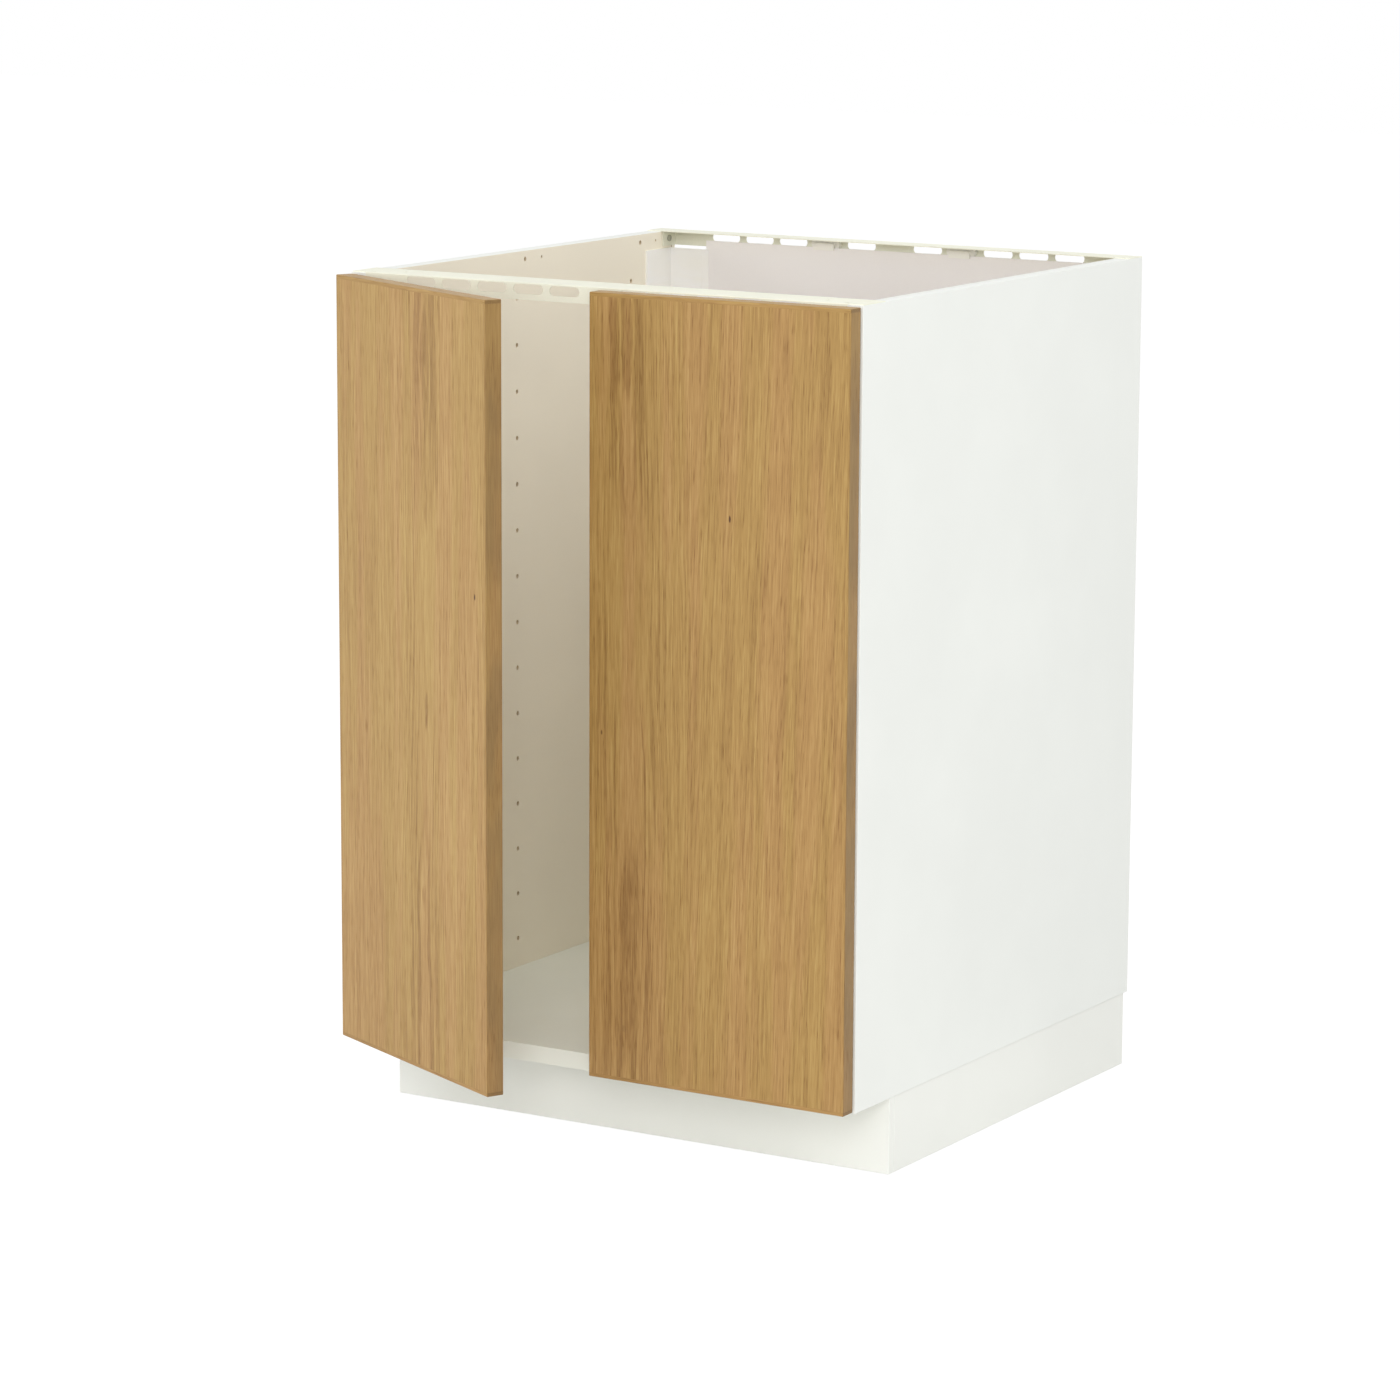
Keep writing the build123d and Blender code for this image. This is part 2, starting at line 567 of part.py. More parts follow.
with BuildPart() as rear_rail:
    with BuildSketch(Plane.XY.offset(TOP)):
        fill((-FLANGE_END, FLANGE_END), (BACK - REAR_FLANGE, BACK))
    extrude(amount=RAIL_GAUGE)
    with BuildSketch(Plane.XY.offset(RAIL_BOTTOM)):
        fill((-RAIL_END, RAIL_END), (BACK - RAIL_GAUGE, BACK))
    extrude(amount=RAIL_DROP)
    with BuildSketch(Plane.XY.offset(RAIL_BOTTOM)):
        for start in (-RAIL_END, RAIL_END - RAIL_GAUGE):
            fill((start, start + RAIL_GAUGE), (BACK - REAR_TAB, BACK))
    extrude(amount=RAIL_DROP - TAB_RELIEF)
    with BuildSketch(Plane.XZ.offset(-BACK)):
        for end in (-1, 1):
            with Locations(*[(end * place, SLOT_MIDDLE) for place in SLOT_PLACES]):
                SlotOverall(SLOT_LENGTH, SLOT_HEIGHT)
    extrude(amount=RAIL_GAUGE, mode=Mode.SUBTRACT)
    for start in (-RAIL_END, RAIL_END - RAIL_GAUGE):
        with BuildSketch(Plane.YZ.offset(start)):
            with Locations((BACK - TAB_REAR_SCREW, TAB_SCREW_HEIGHT)):
                Circle(RAIL_SCREW.shank_radius + FIT)
        extrude(amount=RAIL_GAUGE, mode=Mode.SUBTRACT)
    fold = rear_rail.edges().filter_by(Axis.X).group_by(Axis.Z)[-1].group_by(Axis.Y)[-1]
    fillet(fold, RAIL_BEND)

with BuildPart() as rail_screws:
    for place in TAB_SCREW_PLACES:
        add_screw(
            Plane(origin=(-RAIL_END + RAIL_GAUGE, place, TAB_SCREW_HEIGHT), x_dir=(0, 1, 0), z_dir=(1, 0, 0)),
            RAIL_SCREW,
        )
    mirror(about=Plane.YZ)

with BuildPart() as back_panel_clips:
    middle = SLOT_PLACES[CLIP_SLOT]
    hook_span = (middle - CLIP_WIDTH / 2, middle + CLIP_WIDTH / 2)
    with BuildSketch(Plane.XZ.offset(-BACK)):
        with Locations((middle, SLOT_MIDDLE)):
            SlotOverall(SLOT_LENGTH - 2 * CLIP_CLEARANCE, SLOT_HEIGHT - 2 * CLIP_CLEARANCE)
    extrude(amount=SHEET_INSET - CLIP_CLEARANCE)
    with BuildSketch(Plane.XZ.offset(-SHEET_BACK - CLIP_CLEARANCE)):
        fill(hook_span, (SHEET_TOP + CLIP_CLEARANCE, TOP - CLIP_HOOK_TOP))
    extrude(amount=SHEET_THICKNESS + 2 * CLIP_CLEARANCE + CLIP_WALL)
    with BuildSketch(Plane.XZ.offset(-SHEET_FRONT + CLIP_CLEARANCE)):
        fill(hook_span, (TOP - CLIP_HOOK_DROP, TOP - CLIP_HOOK_TOP))
    extrude(amount=CLIP_WALL)
    mirror(about=Plane.YZ)


# ---------------------------------------------------------------- plinth and legs
with BuildPart() as plinth_front:
    with BuildSketch():
        fill((-PLINTH_END, PLINTH_END), (PLINTH_FRONT, PLINTH_INSIDE))
    extrude(amount=PLINTH_TOP)
    chamfer(plinth_front.edges(), BOARD_EDGE)


def make_plinth_side(side):
    with BuildPart() as plinth_side:
        with BuildSketch():
            fill((-PLINTH_END, -PLINTH_END + PLINTH_BOARD), (PLINTH_INSIDE, PLINTH_REAR))
        extrude(amount=PLINTH_TOP)
        chamfer(plinth_side.edges(), BOARD_EDGE)
        turn_to(side)
    return plinth_side


with BuildPart() as leg_sockets:
    with BuildSketch(Plane.XY.offset(PLINTH_HEIGHT)):
        with Locations(*LEG_PLACES):
            RectangleRounded(SOCKET_PLATE, SOCKET_PLATE, SOCKET_PLATE_CORNER)
    extrude(amount=-SOCKET_PLATE_THICKNESS)
    with BuildSketch(Plane.XY.offset(PLINTH_HEIGHT)):
        for place in LEG_PLACES:
            with Locations(place):
                with GridLocations(LEG_SCREW_PITCH, LEG_SCREW_PITCH, 2, 2):
                    Circle(LEG_SCREW.shank_radius + FIT)
    extrude(amount=-SOCKET_PLATE_THICKNESS, mode=Mode.SUBTRACT)
    with BuildSketch(Plane.XY.offset(SOCKET_BOTTOM)):
        with Locations(*LEG_PLACES):
            Circle(SOCKET_RADIUS)
            Circle(SOCKET_BORE, mode=Mode.SUBTRACT)
    extrude(amount=PLINTH_HEIGHT - SOCKET_PLATE_THICKNESS - SOCKET_BOTTOM)

with BuildPart() as leg_screws:
    half = LEG_SCREW_PITCH / 2
    for x, y in LEG_PLACES:
        for across, along in ((-half, -half), (-half, half), (half, -half), (half, half)):
            seat = (x + across, y + along, PLINTH_HEIGHT - SOCKET_PLATE_THICKNESS)
            add_screw(Plane(origin=seat, x_dir=(1, 0, 0), z_dir=(0, 0, -1)), LEG_SCREW)


def make_levelling_foot(place):
    with BuildPart() as levelling_foot:
        with BuildSketch():
            with Locations(place):
                Circle(FOOT_RADIUS)
        extrude(amount=FOOT_HEIGHT)
        fillet(levelling_foot.edges().sort_by(Axis.Z)[-1], FOOT_ROUND)
        with BuildSketch(Plane.XY.offset(FOOT_HEIGHT)):
            with Locations(place):
                RegularPolygon(FOOT_GRIP_RADIUS, 6)
        extrude(amount=FOOT_GRIP)
        with BuildSketch(Plane.XY.offset(FOOT_HEIGHT)):
            with Locations(place):
                Circle(SOCKET_BORE - FIT)
        extrude(amount=FOOT_STEM - FOOT_HEIGHT)
    return levelling_foot


with BuildPart() as plinth_clips:
    clip_places = [(x, y, CLIP_LEVELS[1], (math.copysign(1, x), 0, 0)) for x, y in LEG_PLACES]
    clip_places += [(x, y, CLIP_LEVELS[0], (0, -1, 0)) for x, y in LEG_PLACES if y < 0]
    for x, y, level, towards_board in clip_places:
        with BuildSketch(Plane(origin=(x, y, level), x_dir=towards_board, z_dir=(0, 0, 1))):
            Circle(SOCKET_RADIUS + FIT + CLIP_RING)
            fill((SOCKET_RADIUS, LEG_REACH), (-CLIP_STEM / 2, CLIP_STEM / 2))
            fill((LEG_REACH - CLIP_RING, LEG_REACH), (-CLIP_BASE / 2, CLIP_BASE / 2))
            Circle(SOCKET_RADIUS + FIT, mode=Mode.SUBTRACT)
            mouth = (-SOCKET_RADIUS - 2 * CLIP_RING, 0)
            fill(mouth, (-CLIP_MOUTH / 2, CLIP_MOUTH / 2), mode=Mode.SUBTRACT)
        extrude(amount=CLIP_HEIGHT)


# ---------------------------------------------------------------- doors
def make_door_panel(side):
    door = door_plane(side)
    with BuildPart() as door_panel:
        with BuildSketch(door.offset(DOOR_BOTTOM + DOOR_EDGING)):
            fill((DOOR_EDGING, DOOR_WIDTH - DOOR_EDGING), (-DOOR_THICKNESS, 0))
        extrude(amount=DOOR_TOP - DOOR_BOTTOM - 2 * DOOR_EDGING)
        for height in HINGE_HEIGHTS:
            face = cup_plane(side, height)
            with BuildSketch(face):
                Circle(CUP_RADIUS + CUP_CLEARANCE)
            extrude(amount=CUP_DEPTH + CUP_CLEARANCE, mode=Mode.SUBTRACT)
            with BuildSketch(face):
                with Locations((WING_OFFSET, 0)):
                    with GridLocations(0, WING_SCREW_PITCH, 1, 2):
                        Circle(CUP_SCREW.shank_radius + FIT)
            extrude(amount=CUP_SCREW.length, mode=Mode.SUBTRACT)
        turn_to(side)
    return door_panel


def make_door_edging(side):
    door = door_plane(side)
    core = (DOOR_EDGING, DOOR_WIDTH - DOOR_EDGING)
    with BuildPart() as door_edging:
        with BuildSketch(door.offset(DOOR_BOTTOM)):
            fill((0, DOOR_WIDTH), (-DOOR_THICKNESS, 0))
        extrude(amount=DOOR_TOP - DOOR_BOTTOM)
        fillet(door_edging.edges(), DOOR_EASE)
        with BuildSketch(door.offset(DOOR_BOTTOM + DOOR_EDGING)):
            fill(core, (-DOOR_THICKNESS, 0))
        extrude(amount=DOOR_TOP - DOOR_BOTTOM - 2 * DOOR_EDGING, mode=Mode.SUBTRACT)
        for height in (DOOR_BOTTOM + DOOR_EDGING, DOOR_TOP - DOOR_EDGING - EDGING_JOINT):
            with BuildSketch(door.offset(height)):
                fill((0, DOOR_WIDTH), (-DOOR_THICKNESS, 0))
            extrude(amount=EDGING_JOINT, mode=Mode.SUBTRACT)
        turn_to(side)
    return door_edging


def make_door_bumpers(side):
    door = door_plane(side)
    with BuildPart() as door_bumpers:
        for height in (DOOR_BOTTOM + BUMPER_FROM_END, DOOR_TOP - BUMPER_FROM_END):
            origin = door.from_local_coords(Vector(DOOR_WIDTH - BUMPER_INSET, 0, height))
            with BuildSketch(Plane(origin=origin, x_dir=door.x_dir, z_dir=door.y_dir)):
                Circle(BUMPER_RADIUS)
            extrude(amount=DOOR_GAP - BUMPER_AIR)
        round_faces = door_bumpers.faces().filter_by(Plane(origin=(0, 0, 0), z_dir=door.y_dir))
        fillet(round_faces.edges(), BUMPER_ROUND)
        turn_to(side)
    return door_bumpers


# ---------------------------------------------------------------- hinges, on the cabinet
def make_hinge_plates(side):
    rail_span = (FRONT + PLATE_RAIL_ENDS[0], FRONT + PLATE_RAIL_ENDS[1])
    column = FRONT + FRONT_COLUMN
    with BuildPart() as hinge_plates:
        for height in HINGE_HEIGHTS:
            rail_half = (height - PLATE_RAIL_HALF, height + PLATE_RAIL_HALF)
            with BuildSketch(INSIDE_LEFT):
                with Locations((column, height)):
                    RectangleRounded(PLATE_WIDTH, PLATE_LENGTH, PLATE_CORNER)
                    with GridLocations(0, HOLE_PITCH, 1, 2):
                        Circle(PLATE_SCREW.shank_radius + FIT, mode=Mode.SUBTRACT)
            extrude(amount=PLATE_THICKNESS)
            with BuildSketch(INSIDE_LEFT):
                fill(rail_span, rail_half)
            extrude(amount=PLATE_THICKNESS + PLATE_RAIL)
            with BuildSketch(INSIDE_LEFT.offset(PLATE_THICKNESS + PLATE_RAIL)):
                with Locations(*[(FRONT + place, height) for place in ARM_SCREW_PLACES]):
                    Circle(ARM_SCREW.shank_radius + FIT)
            extrude(amount=-PLATE_RAIL, mode=Mode.SUBTRACT)
        turn_to(side)
    return hinge_plates


def make_hinge_plate_screws(side):
    with BuildPart() as hinge_plate_screws:
        for height in HINGE_HEIGHTS:
            for step in (-HOLE_PITCH / 2, HOLE_PITCH / 2):
                seat = (ARM_BASE, FRONT + FRONT_COLUMN, height + step)
                add_screw(Plane(origin=seat, x_dir=(0, 1, 0), z_dir=(1, 0, 0)), PLATE_SCREW)
        turn_to(side)
    return hinge_plate_screws


def make_hinge_arms(side):
    outer_pivot = closed_place(OUTER_ARM_PIVOT)
    inner_pivot = closed_place(INNER_ARM_PIVOT)
    left = inner_pivot.X - NOSE_RADIUS
    right = outer_pivot.X + NOSE_RADIUS
    nose_end = FRONT + ARM_NOSE_END
    shoulder = FRONT + ARM_SHOULDER
    end = FRONT + ARM_END
    with BuildPart() as hinge_arms:
        for height in HINGE_HEIGHTS:
            middle = Plane.XY.offset(height)
            with BuildSketch(middle):
                with BuildLine():
                    Polyline(
                        (left, FRONT + ARM_WIDE_START),
                        (ARM_BASE, shoulder),
                        (ARM_BASE, end),
                        (ARM_OUTSIDE, end),
                        (ARM_OUTSIDE, shoulder),
                        (right, nose_end),
                        (right, FRONT + ARM_WIDE_START),
                        close=True,
                    )
                make_face()
            extrude(amount=ARM_HALF, both=True)
            with BuildSketch(middle):
                with BuildLine():
                    Polyline(
                        (left - ARM_HEIGHT, FRONT),
                        (left - ARM_HEIGHT, end + ARM_GAUGE),
                        (ARM_OUTSIDE - ARM_GAUGE, end + ARM_GAUGE),
                        (ARM_OUTSIDE - ARM_GAUGE, shoulder),
                        (right - ARM_GAUGE, nose_end),
                        (right - ARM_GAUGE, FRONT),
                        close=True,
                    )
                make_face()
            extrude(amount=ARM_HALF - ARM_GAUGE, both=True, mode=Mode.SUBTRACT)
            with BuildSketch(middle):
                fill((right - ARM_GAUGE, right), (FRONT + ARM_NOSE_WEB, nose_end))
            extrude(amount=LUG_LAYER[1], both=True)
            for start, thickness in both_ways(LUG_LAYER):
                with BuildSketch(middle.offset(start)):
                    with Locations(outer_pivot, inner_pivot):
                        Circle(NOSE_RADIUS)
                    fill((left, right), (FRONT + ARM_NOSE_WEB, nose_end))
                    make_hull()
                    with Locations(outer_pivot, inner_pivot):
                        Circle(PIN_RADIUS + FIT, mode=Mode.SUBTRACT)
                extrude(amount=thickness)
            with BuildSketch(INSIDE_LEFT.offset(ARM_HEIGHT)):
                with Locations(*[(FRONT + place, height) for place in ARM_SCREW_PLACES]):
                    Circle(ARM_SCREW.shank_radius + FIT)
            extrude(amount=-ARM_GAUGE, mode=Mode.SUBTRACT)
        turn_to(side)
    return hinge_arms


def make_hinge_arm_screws(side):
    with BuildPart() as hinge_arm_screws:
        for height in HINGE_HEIGHTS:
            for place in ARM_SCREW_PLACES:
                seat = (ARM_OUTSIDE, FRONT + place, height)
                add_screw(Plane(origin=seat, x_dir=(0, 1, 0), z_dir=(1, 0, 0)), ARM_SCREW)
        turn_to(side)
    return hinge_arm_screws


def make_arm_pins(side):
    with BuildPart() as arm_pins:
        for height in HINGE_HEIGHTS:
            with BuildSketch(Plane.XY.offset(height)):
                with Locations(closed_place(OUTER_ARM_PIVOT)):
                    Circle(PIN_RADIUS)
            extrude(amount=LUG_LAYER[1], both=True)
            for start, thickness in both_ways((LUG_LAYER[0], INNER_LINK_LAYER[1])):
                with BuildSketch(Plane.XY.offset(height + start)):
                    with Locations(closed_place(INNER_ARM_PIVOT)):
                        Circle(PIN_RADIUS)
                extrude(amount=thickness)
        turn_to(side)
    return arm_pins


# ---------------------------------------------------------------- hinges, links
def make_outer_links(side):
    arm_end = closed_place(OUTER_ARM_PIVOT)
    cup_end = hinge_pose(side.ajar).outer_end
    with BuildPart() as outer_links:
        for height in HINGE_HEIGHTS:
            with BuildSketch(Plane.XY.offset(height)):
                with Locations(arm_end):
                    Circle(OUTER_LINK_EYES[0])
                with Locations(cup_end):
                    Circle(OUTER_LINK_EYES[1])
                make_hull()
                with Locations(arm_end, cup_end):
                    Circle(PIN_RADIUS + FIT, mode=Mode.SUBTRACT)
            extrude(amount=OUTER_LINK_HALF, both=True)
        turn_to(side)
    return outer_links


def make_inner_links(side):
    arm_end = closed_place(INNER_ARM_PIVOT)
    cup_end = hinge_pose(side.ajar).inner_end
    outwards = (cup_end - arm_end).normalized().rotate(Axis.Z, 90)
    crown = (arm_end + cup_end) * 0.5 + outwards * INNER_LINK_SAGITTA
    with BuildPart() as inner_links:
        for height in HINGE_HEIGHTS:
            for start, thickness in both_ways(INNER_LINK_LAYER):
                with BuildSketch(Plane.XY.offset(height + start)):
                    with BuildLine():
                        ThreePointArc(arm_end, crown, cup_end)
                    trace(line_width=INNER_LINK_WIDTH)
                    with Locations(arm_end):
                        Circle(INNER_LINK_EYES[0])
                        Circle(PIN_RADIUS + FIT, mode=Mode.SUBTRACT)
                    with Locations(cup_end):
                        Circle(INNER_LINK_EYES[1])
                        Circle(PIN_RADIUS + LINK_PLAY, mode=Mode.SUBTRACT)
                extrude(amount=thickness)
        turn_to(side)
    return inner_links


# ---------------------------------------------------------------- hinges, in the door
def make_hinge_cups(side):
    door = door_plane(side)
    with BuildPart() as hinge_cups:
        for height in HINGE_HEIGHTS:
            face = cup_plane(side, height)
            with BuildSketch(face):
                Circle(CUP_RADIUS)
            extrude(amount=CUP_DEPTH)
            with BuildSketch(face.offset(-WING_THICKNESS)):
                with Locations((WING_OFFSET, 0)):
                    RectangleRounded(WING_WIDTH, WING_LENGTH, WING_CORNER)
                    with GridLocations(0, WING_SCREW_PITCH, 1, 2):
                        Circle(CUP_SCREW.shank_radius + FIT, mode=Mode.SUBTRACT)
            extrude(amount=WING_THICKNESS)
            with BuildSketch(face.offset(-WING_THICKNESS)):
                Circle(POCKET_RADIUS)
                Rectangle(2 * CUP_RADIUS, 2 * POCKET_HALF, mode=Mode.INTERSECT)
            extrude(amount=POCKET_DEPTH + WING_THICKNESS, mode=Mode.SUBTRACT)
            with BuildSketch(face.offset(-WING_THICKNESS)):
                with Locations((WING_OFFSET + POCKET_RADIUS / 2, 0)):
                    Rectangle(POCKET_RADIUS, 2 * POCKET_HALF)
            extrude(amount=WING_THICKNESS, mode=Mode.SUBTRACT)
            for start, thickness in both_ways(LUG_LAYER):
                with BuildSketch(door.offset(height + start)):
                    with Locations((OUTER_CUP_PIVOT[0], -OUTER_CUP_PIVOT[1])):
                        Circle(OUTER_LINK_EYES[1])
                    lug = (OUTER_CUP_PIVOT[0] - OUTER_LINK_EYES[1], OUTER_CUP_PIVOT[0] + OUTER_LINK_EYES[1])
                    fill(lug, (-POCKET_DEPTH, -OUTER_CUP_PIVOT[1]))
                    with Locations((OUTER_CUP_PIVOT[0], -OUTER_CUP_PIVOT[1])):
                        Circle(PIN_RADIUS + FIT, mode=Mode.SUBTRACT)
                extrude(amount=thickness)
            for start, thickness in both_ways((INNER_LINK_LAYER[0], CUP_PIN_REACH)):
                with BuildSketch(door.offset(height + start)):
                    with Locations((INNER_CUP_PIVOT[0], -INNER_CUP_PIVOT[1])):
                        Circle(PIN_RADIUS + FIT)
                extrude(amount=thickness, mode=Mode.SUBTRACT)
        turn_to(side)
    return hinge_cups


def make_cup_screws(side):
    with BuildPart() as cup_screws:
        for height in HINGE_HEIGHTS:
            face = cup_plane(side, height)
            for step in (-WING_SCREW_PITCH / 2, WING_SCREW_PITCH / 2):
                seat = face.from_local_coords(Vector(WING_OFFSET, step, -WING_THICKNESS))
                add_screw(Plane(origin=seat, x_dir=face.x_dir, z_dir=-face.z_dir), CUP_SCREW)
        turn_to(side)
    return cup_screws


def make_cup_pins(side):
    door = door_plane(side)
    with BuildPart() as cup_pins:
        for height in HINGE_HEIGHTS:
            with BuildSketch(door.offset(height)):
                with Locations((OUTER_CUP_PIVOT[0], -OUTER_CUP_PIVOT[1])):
                    Circle(PIN_RADIUS)
            extrude(amount=LUG_LAYER[1], both=True)
            for start, thickness in both_ways((INNER_LINK_LAYER[0], CUP_PIN_REACH)):
                with BuildSketch(door.offset(height + start)):
                    with Locations((INNER_CUP_PIVOT[0], -INNER_CUP_PIVOT[1])):
                        Circle(PIN_RADIUS)
                extrude(amount=thickness)
        turn_to(side)
    return cup_pins


# ---------------------------------------------------------------- files
os.makedirs("parts", exist_ok=True)

save(bottom_panel, "bottom_panel")
save(frame_dowels, "frame_dowels")
save(cam_bolts, "cam_bolts")
save(cam_locks, "cam_locks")
save(back_panel, "back_panel")
save(back_panel_nails, "back_panel_nails")
save(back_panel_clips, "back_panel_clips")
save(front_rail, "front_rail")
save(rear_rail, "rear_rail")
save(rail_screws, "rail_screws")
save(plinth_front, "plinth_front")
save(plinth_clips, "plinth_clips")
save(leg_sockets, "leg_sockets")
save(leg_screws, "leg_screws")

FOOT_NAMES = ("front_left", "front_right", "rear_left", "rear_right")
for foot_name, foot_place in zip(FOOT_NAMES, LEG_PLACES):
    save(make_levelling_foot(foot_place), f"levelling_foot_{foot_name}")

HANDED_PIECES = {
    "side_panel": make_side_panel,
    "back_strip": make_back_strip,
    "plinth_side": make_plinth_side,
    "hinge_plates": make_hinge_plates,
    "hinge_plate_screws": make_hinge_plate_screws,
    "hinge_arms": make_hinge_arms,
    "hinge_arm_screws": make_hinge_arm_screws,
    "arm_pins": make_arm_pins,
    "outer_links": make_outer_links,
    "inner_links": make_inner_links,
    "hinge_cups": make_hinge_cups,
    "cup_screws": make_cup_screws,
    "cup_pins": make_cup_pins,
    "door_bumpers": make_door_bumpers,
}
for side in (LEFT, RIGHT):
    for piece_name, make_piece in HANDED_PIECES.items():
        save(make_piece(side), f"{piece_name}_{side.name}")
    save(make_door_panel(side), f"door_{side.name}_panel")
    save(make_door_edging(side), f"door_{side.name}_edging")
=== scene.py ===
"""Sink base cabinet with two oak doors: finishes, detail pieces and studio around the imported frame.

The frame is in metres, with +Z up and the doors facing -Y. Every finish is procedural.
"""
from __future__ import annotations

import logging
import math
from abc import ABC, abstractmethod
from dataclasses import dataclass, field
from enum import Enum

import bpy
import numpy as np
from mathutils import Matrix, Vector

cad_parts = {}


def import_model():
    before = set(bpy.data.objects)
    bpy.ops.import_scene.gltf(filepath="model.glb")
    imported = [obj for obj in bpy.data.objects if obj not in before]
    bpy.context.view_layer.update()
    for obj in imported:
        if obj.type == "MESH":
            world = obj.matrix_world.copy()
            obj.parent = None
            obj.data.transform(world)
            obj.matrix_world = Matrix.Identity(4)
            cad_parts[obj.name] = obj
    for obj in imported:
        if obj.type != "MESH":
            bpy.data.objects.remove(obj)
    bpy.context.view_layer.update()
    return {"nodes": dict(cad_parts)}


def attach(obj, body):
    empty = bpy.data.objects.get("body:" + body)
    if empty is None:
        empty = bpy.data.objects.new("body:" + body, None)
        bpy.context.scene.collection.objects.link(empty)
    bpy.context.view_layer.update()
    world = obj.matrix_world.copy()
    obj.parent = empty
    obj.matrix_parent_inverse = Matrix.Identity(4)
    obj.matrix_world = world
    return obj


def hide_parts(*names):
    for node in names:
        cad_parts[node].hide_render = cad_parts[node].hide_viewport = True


LOG = logging.getLogger("sink_base_cabinet")

Colour = tuple[float, float, float]
Triple = tuple[float, float, float]

WHITE = (1.0, 1.0, 1.0, 1.0)


def paint_code(red: float, green: float, blue: float) -> Colour:
    """Turn a display colour into the linear colour that a shader takes.

    Args:
        red: Red from 0 to 255.
        green: Green from 0 to 255.
        blue: Blue from 0 to 255.

    Returns:
        The three linear values from 0 to 1, by the inverse of the sRGB curve.
    """
    shares = (channel / 255.0 for channel in (red, green, blue))
    return tuple(s / 12.92 if s <= 0.04045 else ((s + 0.055) / 1.055) ** 2.4 for s in shares)


# ------------------------------------------------------------------ shader arithmetic
class Signal:
    """Output socket of a shader node that takes Python's arithmetic operators."""

    def __init__(self, book: "ShaderBook", socket: bpy.types.NodeSocket) -> None:
        """Keep the socket and the book whose tree it belongs to."""
        self.book = book
        self.socket = socket

    def __add__(self, other: "Signal | float") -> "Signal":
        """Sum."""
        return self.book.math("ADD", self, other)

    def __radd__(self, other: float) -> "Signal":
        """Sum, with the number on the left."""
        return self.book.math("ADD", other, self)

    def __sub__(self, other: "Signal | float") -> "Signal":
        """Difference."""
        return self.book.math("SUBTRACT", self, other)

    def __rsub__(self, other: float) -> "Signal":
        """Difference, with the number on the left."""
        return self.book.math("SUBTRACT", other, self)

    def __mul__(self, other: "Signal | float") -> "Signal":
        """Product."""
        return self.book.math("MULTIPLY", self, other)

    def __rmul__(self, other: float) -> "Signal":
        """Product, with the number on the left."""
        return self.book.math("MULTIPLY", other, self)

    def __truediv__(self, other: "Signal | float") -> "Signal":
        """Quotient."""
        return self.book.math("DIVIDE", self, other)

    def __abs__(self) -> "Signal":
        """Size without sign."""
        return self.book.math("ABSOLUTE", self)


Value = Signal | float


